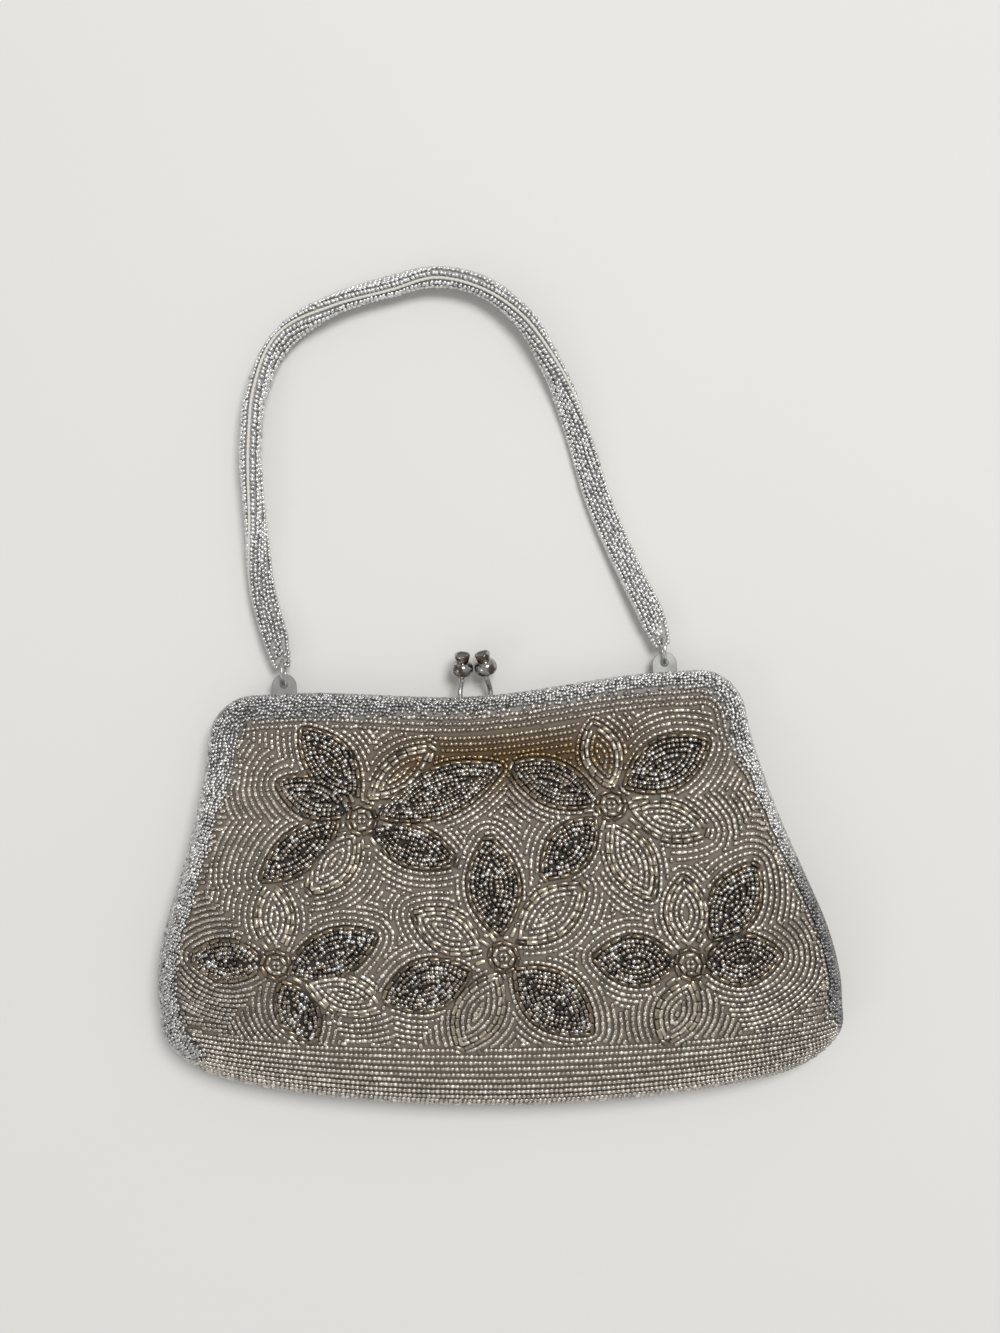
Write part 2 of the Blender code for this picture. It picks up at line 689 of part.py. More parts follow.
def make_tab_slot(side, look):
    low = (side * TAB_X - TAB_WIDTH / 2 - CLEARANCE, tab_foot_y() - CLEARANCE)
    high = (side * TAB_X + TAB_WIDTH / 2 + CLEARANCE, TOP_Y + TAB_TOP_MARGIN)
    outline = [low, (high[0], low[1]), high, (low[0], high[1])]
    points = []
    for z in (tab_z() - TAB_WALL / 2 - CLEARANCE, tab_z() + TAB_WALL / 2 + CLEARANCE):
        points += [(x, y, z) for x, y in outline]
    return hide_helper(add_mesh(f"tab_slot_{side}", points, swept_faces(2, 4), look))


# Jump rings, standing across the tabs, with their origins in the tab holes


def make_ring(name, side, look):
    hole = Vector((side * TAB_X, TAB_HOLE_Y, tab_z()))
    points = []
    faces = []
    for step in range(RING_STEPS):
        turn = 2 * np.pi * step / RING_STEPS
        for spoke in range(RING_SIDES):
            angle = 2 * np.pi * spoke / RING_SIDES
            radius = RING_RADIUS + RING_WIRE_RADIUS * np.cos(angle)
            points.append(
                (
                    hole.x + RING_WIRE_RADIUS * np.sin(angle),
                    hole.y + RING_RADIUS - radius * np.cos(turn),
                    hole.z + radius * np.sin(turn),
                )
            )
            following = (step + 1) % RING_STEPS * RING_SIDES
            beside = (spoke + 1) % RING_SIDES
            first = step * RING_SIDES
            faces.append((first + spoke, first + beside, following + beside, following + spoke))
    return add_mesh(name, points, faces, look, RING_SHARP_ANGLE, hole)


# Kiss-lock knobs: two balls side by side over the middle of the frame, each on a bent stem


def knob_x():
    return KNOB_RADIUS + KNOB_GAP / 2


def make_knob_stem(name, side, way, look, origin):
    """Bent stem from the frame's groove, out through the top edge and in to the ball."""
    foot_y = TOP_Y - TOP_DIP - FRAME_INSET - FRAME_WALL - CLEARANCE
    edge_y = TOP_Y - TOP_DIP + STEM_RADIUS
    ball_y = KNOB_Y - KNOB_RADIUS * KNOB_FLAT_SHARE - CLEARANCE
    foot = np.array([side * STEM_FOOT_X, foot_y, HINGE_Z + way * STEM_FOOT_DEPTH])
    edge = np.array([side * STEM_FOOT_X, edge_y, HINGE_Z + way * STEM_FOOT_DEPTH])
    ball = np.array([side * knob_x(), ball_y, HINGE_Z])
    centres = [foot]
    for t in np.linspace(0.0, 1.0, 7):
        place = edge + (ball - edge) * t
        place[0] = edge[0] + (ball[0] - edge[0]) * smoothstep(t)
        place[2] = edge[2] + (ball[2] - edge[2]) * smoothstep(t)
        centres.append(place)
    points = []
    for place in centres:
        for step in range(STEM_SIDES):
            angle = 2 * np.pi * step / STEM_SIDES
            across, up = STEM_RADIUS * np.cos(angle), STEM_RADIUS * np.sin(angle)
            points.append((place[0] + across, place[1], place[2] + up))
    return add_mesh(name, points, swept_faces(len(centres), STEM_SIDES), look, TUBE_SHARP_ANGLE, origin)


def make_stem_hole(side, way, look):
    reach = FRAME_INSET + FRAME_WALL + STEM_RADIUS
    spot = Vector((side * STEM_FOOT_X, TOP_Y - TOP_DIP, HINGE_Z + way * STEM_FOOT_DEPTH))
    away = Vector((0, reach, 0))
    radius = STEM_RADIUS + STEM_HOLE_CLEARANCE
    return hide_helper(cylinder(f"stem_hole_{side}", spot - away, spot + away, radius, look, 12))


def make_knob_ball(name, side, look, origin):
    """Ball with a small flat at each end, for the stem and for the cap."""
    last = np.arcsin(KNOB_FLAT_SHARE)
    profile = [
        (KNOB_RADIUS * np.sin(angle), KNOB_RADIUS * np.cos(angle)) for angle in np.linspace(-last, last, 9)
    ]
    return turned(name, profile, (side * knob_x(), KNOB_Y, HINGE_Z), (0, 1, 0), look, origin)


def make_knob_cap(name, side, look, origin):
    """Smaller button on top of the ball, with a narrow neck and a rounded crown."""
    neck = KNOB_CAP_RADIUS * KNOB_NECK_SHARE
    start_y = KNOB_Y + KNOB_RADIUS * KNOB_FLAT_SHARE + CLEARANCE
    profile = [(0.0, neck)]
    for angle in KNOB_CAP_ANGLES:
        along = KNOB_CAP_HEIGHT / 2 * (1 + np.sin(angle))
        profile.append((along, KNOB_CAP_RADIUS * np.cos(angle)))
    profile.append((KNOB_CAP_HEIGHT, KNOB_CAP_RADIUS * np.cos(KNOB_CAP_TOP_ANGLE)))
    return turned(name, profile, (side * knob_x(), start_y, HINGE_Z), (0, 1, 0), look, origin)


# Strap: a flattened beaded tube with a cord seam on each edge


def strap_route(steps):
    """Smooth line through the route: places, distances from the tips and face turns."""
    shares = np.array(STRAP_SHARES)
    knots = np.array([(TAB_X * x, TAB_HOLE_Y + STRAP_REACH * y) for x, y, _ in shares])
    run = np.concatenate([[0.0], np.cumsum(np.linalg.norm(np.diff(knots, axis=0), axis=1))])
    run /= run[-1]
    dense = np.linspace(0.0, 1.0, steps * SPLINE_STEPS)
    line = np.stack([smooth_value(np.stack([run, knots[:, k]], axis=1), dense) for k in (0, 1)], axis=1)
    turn = np.pi * smooth_value(np.stack([run, shares[:, 2]], axis=1), dense)
    walked = np.concatenate([[0.0], np.cumsum(np.linalg.norm(np.diff(line, axis=0), axis=1))])
    length = walked[-1]
    close = STRAP_TIP_LENGTH * np.array([0.0, 0.04, 0.12, 0.25, 0.5, 0.75])
    even = np.linspace(STRAP_TIP_LENGTH, length - STRAP_TIP_LENGTH, steps - 2 * len(close))
    wanted = np.concatenate([close, even, length - close[::-1]])
    place = np.stack([np.interp(wanted, walked, line[:, k]) for k in (0, 1)], axis=1)
    return place, np.minimum(wanted, length - wanted), np.interp(wanted, walked, turn)


def strap_frames():
    """For each station: centre, side way, face way, half width and half thickness."""
    place, from_tip, turn = strap_route(STRAP_STATIONS)
    tangent = np.gradient(place, axis=0)
    tangent /= np.linalg.norm(tangent, axis=1)[:, None]
    outward = np.stack([-tangent[:, 1], tangent[:, 0], np.zeros(len(place))], axis=1)
    upward = np.array([0.0, 0.0, 1.0])
    cos, sin = np.cos(turn)[:, None], np.sin(turn)[:, None]
    side = outward * cos + upward * sin
    face = upward * cos - outward * sin
    grown = smoothstep(from_tip / STRAP_TIP_LENGTH)
    half = (STRAP_TIP_WIDTH + (STRAP_WIDTH - STRAP_TIP_WIDTH) * grown) / 2
    thick = (STRAP_TIP_THICKNESS + (STRAP_THICKNESS - STRAP_TIP_THICKNESS) * grown) / 2
    rounded = edge_rise(from_tip, STRAP_TIP_MARGIN, 2.0)
    half = half * (STRAP_TIP_ROUND_SHARE + (1 - STRAP_TIP_ROUND_SHARE) * rounded)
    across, out = strap_section()
    reach = side[:, 2:] * half[:, None] * across + face[:, 2:] * thick[:, None] * out
    under_seam = np.abs(side[:, 2]) * (half + CLEARANCE + SEAM_RADIUS) + SEAM_RADIUS
    lying = np.maximum(reach.max(axis=1), under_seam)
    height = lying + (tab_z() - lying) * (1 - smoothstep(from_tip / STRAP_DROP_LENGTH))
    centre = np.concatenate([place, np.maximum(height, lying)[:, None]], axis=1)
    return centre, side, face, half, thick


def strap_section():
    """Section of the strap as shares of its half width and half thickness."""
    angle = 2 * np.pi * (np.arange(STRAP_SIDES) + 0.5) / STRAP_SIDES
    cos, sin = np.cos(angle), np.sin(angle)
    power = STRAP_SECTION_EXPONENT
    return np.sign(cos) * np.abs(cos) ** power, np.sign(sin) * np.abs(sin) ** power


def make_strap(look, origin):
    centre, side, face, half, thick = strap_frames()
    across, out = strap_section()
    points = []
    for k in range(len(centre)):
        for wide, high in zip(across * half[k], out * thick[k]):
            points.append(centre[k] + side[k] * wide + face[k] * high)
    strap = add_mesh("strap_sleeve", points, swept_faces(len(centre), STRAP_SIDES), look, TUBE_SHARP_ANGLE, origin)
    for tab_side in (-1, 1):
        spot = Vector((tab_side * TAB_X, origin[1], origin[2]))
        reach = Vector((0, np.sin(STRAP_HOLE_ANGLE), np.cos(STRAP_HOLE_ANGLE))) * STRAP_THICKNESS
        name = f"strap_hole_{tab_side}"
        boolean(strap, cylinder(name, spot - reach, spot + reach, STRAP_HOLE_RADIUS, look, 16), "DIFFERENCE")
    return strap


def make_strap_seam(name, edge, look, origin):
    centre, side, face, half, thick = strap_frames()
    first, last = STRAP_SEAM_SKIP, len(centre) - STRAP_SEAM_SKIP
    points = []
    for k in range(first, last):
        middle = centre[k] + side[k] * edge * (half[k] + CLEARANCE + SEAM_RADIUS)
        for step in range(SEAM_SIDES):
            angle = 2 * np.pi * step / SEAM_SIDES
            offset = side[k] * np.cos(angle) + face[k] * np.sin(angle)
            points.append(middle + offset * SEAM_RADIUS)
    return add_mesh(name, points, swept_faces(last - first, SEAM_SIDES), look, TUBE_SHARP_ANGLE, origin)


def axis_empty(name, place, parent):
    """Empty on a joint's axis, which carries the pieces that move together."""
    empty = bpy.data.objects.new(name, None)
    empty.location = place
    empty.empty_display_size = EAR_RADIUS
    bpy.context.collection.objects.link(empty)
    bpy.context.view_layer.update()
    carry(empty, parent)
    return empty


def carry(item, parent):
    """Parents the item and leaves it where it is."""
    if parent:
        bpy.context.view_layer.update()
        item.parent = parent
        item.matrix_parent_inverse = parent.matrix_world.inverted()


def build():
    clear_scene()
    bead_cloth = material("Beaded cloth", (0.52, 0.47, 0.40), 0.25, 0.35)
    strap_beads = material("Strap beads", (0.66, 0.66, 0.64), 0.45, 0.30)
    satin = material("Ivory satin lining", (0.80, 0.74, 0.62), 0.0, 0.45)
    cord = material("Cream seam cord", (0.78, 0.76, 0.70), 0.0, 0.60)
    nickel = material("Polished nickel", (0.60, 0.58, 0.55), 1.0, 0.12)
    steel = material("Satin steel", (0.62, 0.62, 0.61), 1.0, 0.32)

    hinge_axis = axis_empty("hinge_axis", HINGE_ORIGIN, None)
    back = [make_back_panel(bead_cloth), make_front_panel_lower(bead_cloth)]
    make_back_lining(satin)
    make_front_lining_lower(satin)
    back_frame = make_frame("back_frame", -1, ear_x(), steel)
    make_rivet("hinge_rivet_left", -1, steel)
    make_rivet("hinge_rivet_right", 1, steel)
    for side, name in ((-1, "tab_left"), (1, "tab_right")):
        make_tab(name, side, steel)
        slot = make_tab_slot(side, steel)
        boolean(back[0], slot, "DIFFERENCE")
        boolean(back_frame, slot, "DIFFERENCE")
    back_hole = make_stem_hole(1, -1, steel)
    boolean(back[0], back_hole, "DIFFERENCE")
    boolean(back_frame, back_hole, "DIFFERENCE")
    make_knob_stem("back_knob_stem", 1, -1, nickel, (0.0, 0.0, 0.0))
    make_knob_ball("back_knob_ball", 1, nickel, (0.0, 0.0, 0.0))
    make_knob_cap("back_knob_cap", 1, nickel, (0.0, 0.0, 0.0))

    front_frame = make_frame("front_frame", 1, ear_x() - CLEARANCE - EAR_WALL, steel)
    front_panel = make_front_panel_upper(bead_cloth)
    front_hole = make_stem_hole(-1, 1, steel)
    boolean(front_panel, front_hole, "DIFFERENCE")
    boolean(front_frame, front_hole, "DIFFERENCE")
    front = [front_frame, front_panel, make_front_lining_upper(satin)]
    front.append(make_knob_stem("front_knob_stem", -1, 1, nickel, HINGE_ORIGIN))
    front.append(make_knob_ball("front_knob_ball", -1, nickel, HINGE_ORIGIN))
    front.append(make_knob_cap("front_knob_cap", -1, nickel, HINGE_ORIGIN))
    for item in front:
        carry(item, hinge_axis)

    ring_left = make_ring("ring_left", -1, steel)
    make_ring("ring_right", 1, steel)
    strap_origin = (0.0, TAB_HOLE_Y + 2 * RING_RADIUS, tab_z())
    strap = make_strap(strap_beads, strap_origin)
    carry(strap, ring_left)
    for name, edge in (("strap_seam_outer", 1), ("strap_seam_inner", -1)):
        carry(make_strap_seam(name, edge, cord, strap_origin), strap)


build()
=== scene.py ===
"""Beaded evening bag with a hidden kiss-lock frame, lying on its back with its strap laid out.

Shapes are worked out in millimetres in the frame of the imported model, and put_mesh turns them into
metres: +X across the bag, +Y towards the strap, +Z out of the front.
"""

import bpy
import numpy as np
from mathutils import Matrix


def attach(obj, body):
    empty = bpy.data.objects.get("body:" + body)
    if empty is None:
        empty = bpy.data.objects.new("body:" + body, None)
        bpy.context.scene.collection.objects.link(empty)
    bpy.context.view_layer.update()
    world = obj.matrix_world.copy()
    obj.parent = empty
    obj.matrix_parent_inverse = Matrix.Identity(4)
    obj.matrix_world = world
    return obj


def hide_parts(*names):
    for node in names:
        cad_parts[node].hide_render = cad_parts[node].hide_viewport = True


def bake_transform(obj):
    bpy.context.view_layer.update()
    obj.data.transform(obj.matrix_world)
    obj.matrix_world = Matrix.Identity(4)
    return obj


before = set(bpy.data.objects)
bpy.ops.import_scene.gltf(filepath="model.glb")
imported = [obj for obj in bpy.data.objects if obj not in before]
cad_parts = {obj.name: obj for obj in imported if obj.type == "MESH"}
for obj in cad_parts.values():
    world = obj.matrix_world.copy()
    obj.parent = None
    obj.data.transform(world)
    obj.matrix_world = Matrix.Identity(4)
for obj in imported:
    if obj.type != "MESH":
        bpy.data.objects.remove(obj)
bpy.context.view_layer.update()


# Floor, lamps and camera
# A pale plain floor, one large soft lamp from the upper right with a weaker one from the lower
# left, and the camera nearly straight above the clasp, turned so that the bag lies as photographed.

MM = 0.001
FLOOR_COLOUR = (0.74, 0.73, 0.70)
FLOOR_GRAIN_LIFT = 1.03
FLOOR_REACH = 6000.0
OVERHEAD_LAMP = {"place": (0.7, 0.95, 2.35), "target": (0.0, 0.05, 0.0), "size": 1.1, "watts": 42.0}
SIDE_LAMP = {"place": (-1.8, -1.2, 1.6), "target": (0.0, 0.0, 0.0), "size": 1.0, "watts": 4.5}
SKY_COLOUR = (0.97, 0.98, 1.0)
SKY_STRENGTH = 0.46
CAMERA_HEIGHT = 480.0
CAMERA_PLACE = (8.3, 70.8)
CAMERA_ROLL = 3.3
SENSOR_WIDTH = 36.0
VIEW_WIDTH = 316.5
VIEW_WIDTH_HEIGHT = 7.0


class Number:
    """A number that varies over a surface. Arithmetic on it adds Math nodes."""

    def __init__(self, finish, socket):
        self.finish = finish
        self.socket = socket

    def math(self, operation, *values):
        return self.finish.node("ShaderNodeMath", {"operation": operation}, dict(enumerate(values)))

    def __add__(self, other):
        return self.math("ADD", self, other)

    __radd__ = __add__

    def __mul__(self, other):
        return self.math("MULTIPLY", self, other)

    __rmul__ = __mul__

    def between(self, low, high):
        """0 below low, 1 above high and a smooth step between them."""
        settings = {"interpolation_type": "SMOOTHSTEP"}
        values = {"Value": self, "From Min": low, "From Max": high}
        return self.finish.node("ShaderNodeMapRange", settings, values)


class Finish:
    """A material, with one method that adds any node and wraps one of its outputs."""

    def __init__(self, name, **constants):
        self.material = bpy.data.materials.new(name)
        self.material.use_nodes = True
        self.tree = self.material.node_tree
        self.shader = self.tree.nodes["Principled BSDF"]
        self.feed(self.shader, constants)

    def feed(self, node, values):
        """Links or sets sockets, which are named by text, with _ for a space, or by number."""
        for key, value in values.items():
            socket = node.inputs[key.replace("_", " ") if isinstance(key, str) else key]
            if isinstance(value, Number):
                self.tree.links.new(value.socket, socket)
            elif isinstance(value, tuple) and len(value) == 3 and socket.type == "RGBA":
                socket.default_value = (*value, 1.0)
            else:
                socket.default_value = value

    def node(self, kind, settings=None, values=None, output=0):
        """Adds a node, its settings first; output counts its live outputs or names one."""
        made = self.tree.nodes.new(kind)
        for key, value in (settings or {}).items():
            setattr(made, key, value)
        self.feed(made, values or {})
        sockets = [socket for socket in made.outputs if socket.enabled]
        return Number(self, sockets[output] if isinstance(output, int) else made.outputs[output])

    def place(self):
        return self.node("ShaderNodeTexCoord", output="Object")

    def attribute(self, name):
        return self.node("ShaderNodeAttribute", {"attribute_name": name}, output="Color")

    def noise(self, scale, detail, vector=None):
        values = {"Vector": vector or self.place(), "Scale": scale, "Detail": detail}
        return self.node("ShaderNodeTexNoise", None, values)

    def mix(self, share, first, second, blend="MIX"):
        settings = {"data_type": "RGBA", "blend_type": blend}
        return self.node("ShaderNodeMix", settings, {0: share, 6: first, 7: second})

    def threads(self, scales, detail):
        """Noise stretched into fine lines: a scale of its own along each axis."""
        stretched = self.node("ShaderNodeMapping", None, {"Vector": self.place(), "Scale": scales})
        return self.noise(1.0, detail, stretched)

    def weave(self, scale):
        """Checks of two crossing sets of threads."""
        return self.node("ShaderNodeTexChecker", None, {"Vector": self.place(), "Scale": scale}, 1)

    def bump(self, height, distance, strength):
        values = {"Height": height, "Distance": distance, "Strength": strength}
        return self.node("ShaderNodeBump", None, values)

    def surface(self, **values):
        self.feed(self.shader, values)
        return self.material


def put_mesh(name, points, faces, look, smooth=True):
    """Mesh from points in millimetres and lists of faces."""
    mesh = bpy.data.meshes.new(name)
    mesh.from_pydata((points * MM).tolist(), [], faces)
    mesh.polygons.foreach_set("use_smooth", [smooth] * len(faces))
    mesh.materials.append(look)
    mesh.update()
    piece = bpy.data.objects.new(name, mesh)
    bpy.context.scene.collection.objects.link(piece)
    return piece


def make_floor():
    """One large square at z = 0, matt, with a faint cloudy grain."""
    finish = Finish("Pale floor", Roughness=0.75)
    grain = finish.noise(6.0, 4.0)
    pale = tuple(FLOOR_GRAIN_LIFT * part for part in FLOOR_COLOUR)
    floor_look = finish.surface(Base_Color=finish.mix(grain, FLOOR_COLOUR, pale))
    corners = FLOOR_REACH * np.array([(-1, -1, 0), (1, -1, 0), (1, 1, 0), (-1, 1, 0)])
    put_mesh("floor", corners, [(0, 1, 2, 3)], floor_look, smooth=False)


def make_lamp(name, place, target, size, watts):
    """Round soft lamp whose -Z looks at its target; places are in metres."""
    lamp = bpy.data.lights.new(name, "AREA")
    lamp.shape = "DISK"
    lamp.size = size
    lamp.energy = watts
    item = bpy.data.objects.new(name, lamp)
    item.location = place
    aim = np.array(target) - np.array(place)
    flat = np.hypot(aim[0], aim[1])
    item.rotation_euler = (np.arctan2(flat, -aim[2]), 0.0, np.arctan2(aim[0], -aim[1]) + np.pi)
    bpy.context.scene.collection.objects.link(item)


def make_world():
    world = bpy.data.worlds.new("Studio")
    world.use_nodes = True
    background = world.node_tree.nodes["Background"]
    background.inputs["Color"].default_value = (*SKY_COLOUR, 1.0)
    background.inputs["Strength"].default_value = SKY_STRENGTH
    bpy.context.scene.world = world


def make_camera():
    """Camera looking straight down, with a lens that shows the view width at the frame's height."""
    camera = bpy.data.cameras.new("camera")
    camera.sensor_fit = "HORIZONTAL"
    camera.sensor_width = SENSOR_WIDTH
    camera.lens = SENSOR_WIDTH * (CAMERA_HEIGHT - VIEW_WIDTH_HEIGHT) / VIEW_WIDTH
    camera.clip_start = 0.01
    item = bpy.data.objects.new("camera", camera)
    item.location = (CAMERA_PLACE[0] * MM, CAMERA_PLACE[1] * MM, CAMERA_HEIGHT * MM)
    item.rotation_euler = (0.0, 0.0, -np.radians(CAMERA_ROLL))
    bpy.context.scene.collection.objects.link(item)
    bpy.context.scene.camera = item


make_floor()
make_lamp("overhead lamp", **OVERHEAD_LAMP)
make_lamp("side lamp", **SIDE_LAMP)
make_world()
make_camera()
bpy.context.scene.view_settings.view_transform = "Standard"


# Frame halves and hinge rivets
# Two channels of satin steel, pressed round the mouth of the bag under the beaded cloth, and joined
# at their ears by a rivet each side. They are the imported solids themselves.

STEEL_COLOUR = (0.66, 0.66, 0.65)
TARNISH_SHARE = 0.72


def steel_finish(name, colour, roughness):
    """Satin steel: fine drawn lines, cloudy tarnish and a rougher grey in it."""
    finish = Finish(name, Metallic=1.0)
    cloud = finish.noise(160.0, 5.0)
    lines = finish.threads((300.0, 4000.0, 4000.0), 2.0)
    dull = tuple(part * TARNISH_SHARE for part in colour)
    return finish.surface(
        Base_Color=finish.mix(cloud.between(0.35, 0.75), colour, dull),
        Roughness=cloud * 0.18 + lines * 0.08 + (roughness - 0.1),
        Normal=finish.bump(lines, 0.00002, 0.4),
    )


satin_steel = steel_finish("Satin steel", STEEL_COLOUR, roughness=0.32)
for node in ("back_frame", "front_frame", "hinge_rivet_left", "hinge_rivet_right"):
    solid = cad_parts[node]
    solid.data.materials.clear()
    solid.data.materials.append(satin_steel)


# Beaded cloth: the form of the bag
# One soft front from the mouth over the hollow and the belly to the bottom seam, and a flat back.
# The formulas give the outer face of the beadwork, and the cloth lies under it.

HINGE_Y = 22.0
SPLIT_Z = 7.0
SPLIT_GAP = 0.3
TOP_Y = 66.3
BOTTOM_Y = -67.5
HALF_WIDTH = 107.6
TOP_CORNER = (13.0, 13.0)
BOTTOM_CORNER = (25.0, 20.0)
DIP_DEPTH = 4.3
DIP_HALF_WIDTH = 60.0
DIP_LENGTH = 31.4
BOW_DEPTH = 7.5
BOW_HALF_WIDTH = 82.0
BOW_START_Y = -27.0
FRAME_CROWN = 7.0
HINGE_CROWN = 18.0
BELLY_CROWN = 24.0
HOLLOW_LENGTH = 24.0
BELLY_LENGTH = 40.6
TIGHT_START = 4.0
TIGHT_LENGTH = 16.0
SOFT_LENGTH = 36.0
SIDE_EXPONENTS = (9.0, 27.0, 3.5)
TOP_EXPONENT = 36.0
BOTTOM_REACH = 60.0
BOTTOM_EXPONENT = 2.6
SAG_DEPTH = 0.35
SAG_WAVES = (17.0, 13.0)
BACK_SIDE_EXPONENTS = (18.0, 18.0)
BACK_TIGHT_LENGTH = 14.0
BACK_BOTTOM_EXPONENT = 12.0
BACK_FLATTENING = 1.06
LEAN_START_Y = 30.0
LEAN_LENGTH = 75.0
LEAN_SHIFT = 2.6
LEAN_SLOPE = 0.045
LEAN_CORRECTIONS = 6
ROW_CORRECTIONS = 8
SIDE_TABLE = np.array(
    [(0.0, 1.0), (0.20, 1.0), (0.303, 1.0), (0.407, 0.976), (0.508, 0.932), (0.62, 0.881)]
    + [(0.729, 0.838), (0.826, 0.806), (0.93, 0.785), (1.0, 0.775)]
)
CLOTH_THICKNESS = 0.5
CLOTH_DEPTH = 1.3
CLOTH_INSET = 0.2
CLOTH_COLUMNS = 161
CLOTH_ROWS = 141
SPLIT_CLEARANCE = 0.35
CLOTH_COLOUR = (0.205, 0.172, 0.140)


def unit(vectors):
    """Vectors divided by their lengths; vectors of no length stay so."""
    return vectors / np.maximum(np.linalg.norm(vectors, axis=-1, keepdims=True), 1e-9)


def smoothstep(t):
    """3t² - 2t³ between 0 and 1, and flat outside."""
    t = np.clip(t, 0.0, 1.0)
    return t * t * (3 - 2 * t)


def smooth_curve(table, at):
    """Cubic Hermite curve through the table's pairs, with slopes from the neighbouring pairs."""
    slopes = np.gradient(table[:, 1], table[:, 0])
    found = np.clip(np.searchsorted(table[:, 0], at) - 1, 0, len(table) - 2)
    step = table[found + 1, 0] - table[found, 0]
    t = np.clip((at - table[found, 0]) / step, 0.0, 1.0)
    start = (2 * t**3 - 3 * t**2 + 1) * table[found, 1] + (t**3 - 2 * t**2 + t) * step * slopes[found]
    end = (3 * t**2 - 2 * t**3) * table[found + 1, 1] + (t**3 - t**2) * step * slopes[found + 1]
    return start + end


def corner_cut(distance, width, height):
    """How far an elliptic corner draws the side in: width times 1 minus the root of 1 - share²."""
    share = np.clip((height - distance) / height, 0.0, 1.0)
    return width * (1 - np.sqrt(1 - share**2))


def half_width(row):
    """Half width of a row: the side table's curve less the rounded corners above and below."""
    side = HALF_WIDTH * smooth_curve(SIDE_TABLE, (row - BOTTOM_Y) / (TOP_Y - BOTTOM_Y))
    return side - corner_cut(TOP_Y - row, *TOP_CORNER) - corner_cut(row - BOTTOM_Y, *BOTTOM_CORNER)


def row_shift(x, row):
    """Rows dip in the middle of the mouth, and rise towards the sides at the bottom seam."""
    middle = 1 - smoothstep(np.abs(x) / DIP_HALF_WIDTH)
    dip = DIP_DEPTH * middle * smoothstep((row - HINGE_Y) / DIP_LENGTH)
    low = np.clip((row - BOW_START_Y) / (BOTTOM_Y - BOW_START_Y), 0.0, 1.0)
    return BOW_DEPTH * (np.abs(x) / BOW_HALF_WIDTH) ** 2 * low - dip


def row_of(x, y):
    """The row that passes through a place in plan, by repeated correction."""
    row = np.array(y, float)
    for _ in range(ROW_CORRECTIONS):
        row = np.clip(y - row_shift(x, row), BOTTOM_Y, TOP_Y)
    return row


def edge_rise(distance, reach, exponent):
    """Rounded edge: the root of 1 - (1 - distance / reach)^exponent."""
    return np.sqrt(1 - np.clip(1 - distance / reach, 0.0, 1.0) ** exponent)


def front_height(x, row):
    """Height of the front: a crown that depends on the row, times a rounded rise from each edge."""
    width = half_width(row)
    along = row - HINGE_Y
    hollow = FRAME_CROWN + (HINGE_CROWN - FRAME_CROWN) * (1 - smoothstep(along / HOLLOW_LENGTH))
    belly = (BELLY_CROWN - HINGE_CROWN) * smoothstep(-along / BELLY_LENGTH)
    tight = smoothstep((along - TIGHT_START) / TIGHT_LENGTH)
    soft = smoothstep(-along / SOFT_LENGTH)
    exponent = SIDE_EXPONENTS[0] + SIDE_EXPONENTS[1] * tight - SIDE_EXPONENTS[2] * soft
    rise = edge_rise(width - np.abs(x), width, exponent)
    rise = rise * edge_rise(TOP_Y - row, HALF_WIDTH, TOP_EXPONENT)
    rise = rise * edge_rise(row - BOTTOM_Y, BOTTOM_REACH, BOTTOM_EXPONENT)
    sag = SAG_DEPTH * np.sin(x / SAG_WAVES[0] + 1.0) * np.cos(row / SAG_WAVES[1]) * rise * soft
    return SPLIT_Z + SPLIT_GAP + (hollow + belly - SPLIT_GAP) * rise + sag


def back_height(x, row):
    """Height of the back: a flat tray 6.7 mm deep with tightly rounded edges."""
    width = half_width(row)
    tight = smoothstep((row - HINGE_Y + BACK_TIGHT_LENGTH) / BACK_TIGHT_LENGTH)
    exponent = BACK_SIDE_EXPONENTS[0] + BACK_SIDE_EXPONENTS[1] * tight
    rise = edge_rise(width - np.abs(x), width, exponent)
    rise = rise * edge_rise(TOP_Y - row, HALF_WIDTH, TOP_EXPONENT)
    rise = rise * edge_rise(row - BOTTOM_Y, HALF_WIDTH, BACK_BOTTOM_EXPONENT)
    depth = SPLIT_Z - SPLIT_GAP
    return depth - np.minimum(depth * rise * BACK_FLATTENING, depth)


def lean_share(y):
    """0 at the frame, and 1 in the lower body."""
    return smoothstep((LEAN_START_Y - y) / LEAN_LENGTH)


def lean(points):
    """The soft body hangs about 3 degrees round from the frame, more towards the bottom."""
    share = lean_share(points[..., 1])
    moved = np.array(points, float)
    moved[..., 0] += LEAN_SHIFT * share
    moved[..., 1] -= LEAN_SLOPE * points[..., 0] * share
    return moved


def cloth_grid(height, inset, columns, rows):
    """Grid of the bag's face: shares u across and v down, x = half width(row) u, z = height."""
    u = np.sin(np.linspace(-1, 1, columns) * np.pi / 2)
    v = (1 - np.cos(np.linspace(0, 1, rows) * np.pi)) / 2
    row = (TOP_Y - inset) + (BOTTOM_Y - TOP_Y + 2 * inset) * v[:, None]
    x = (half_width(row) - inset) * u[None, :]
    y = row + row_shift(x, row)
    return np.stack([x, y, height(x, row)], axis=-1)


def normals_of(grid):
    """Unit normals of a grid of points, from the cross product of its two directions."""
    return unit(np.cross(np.gradient(grid, axis=0), np.gradient(grid, axis=1)))


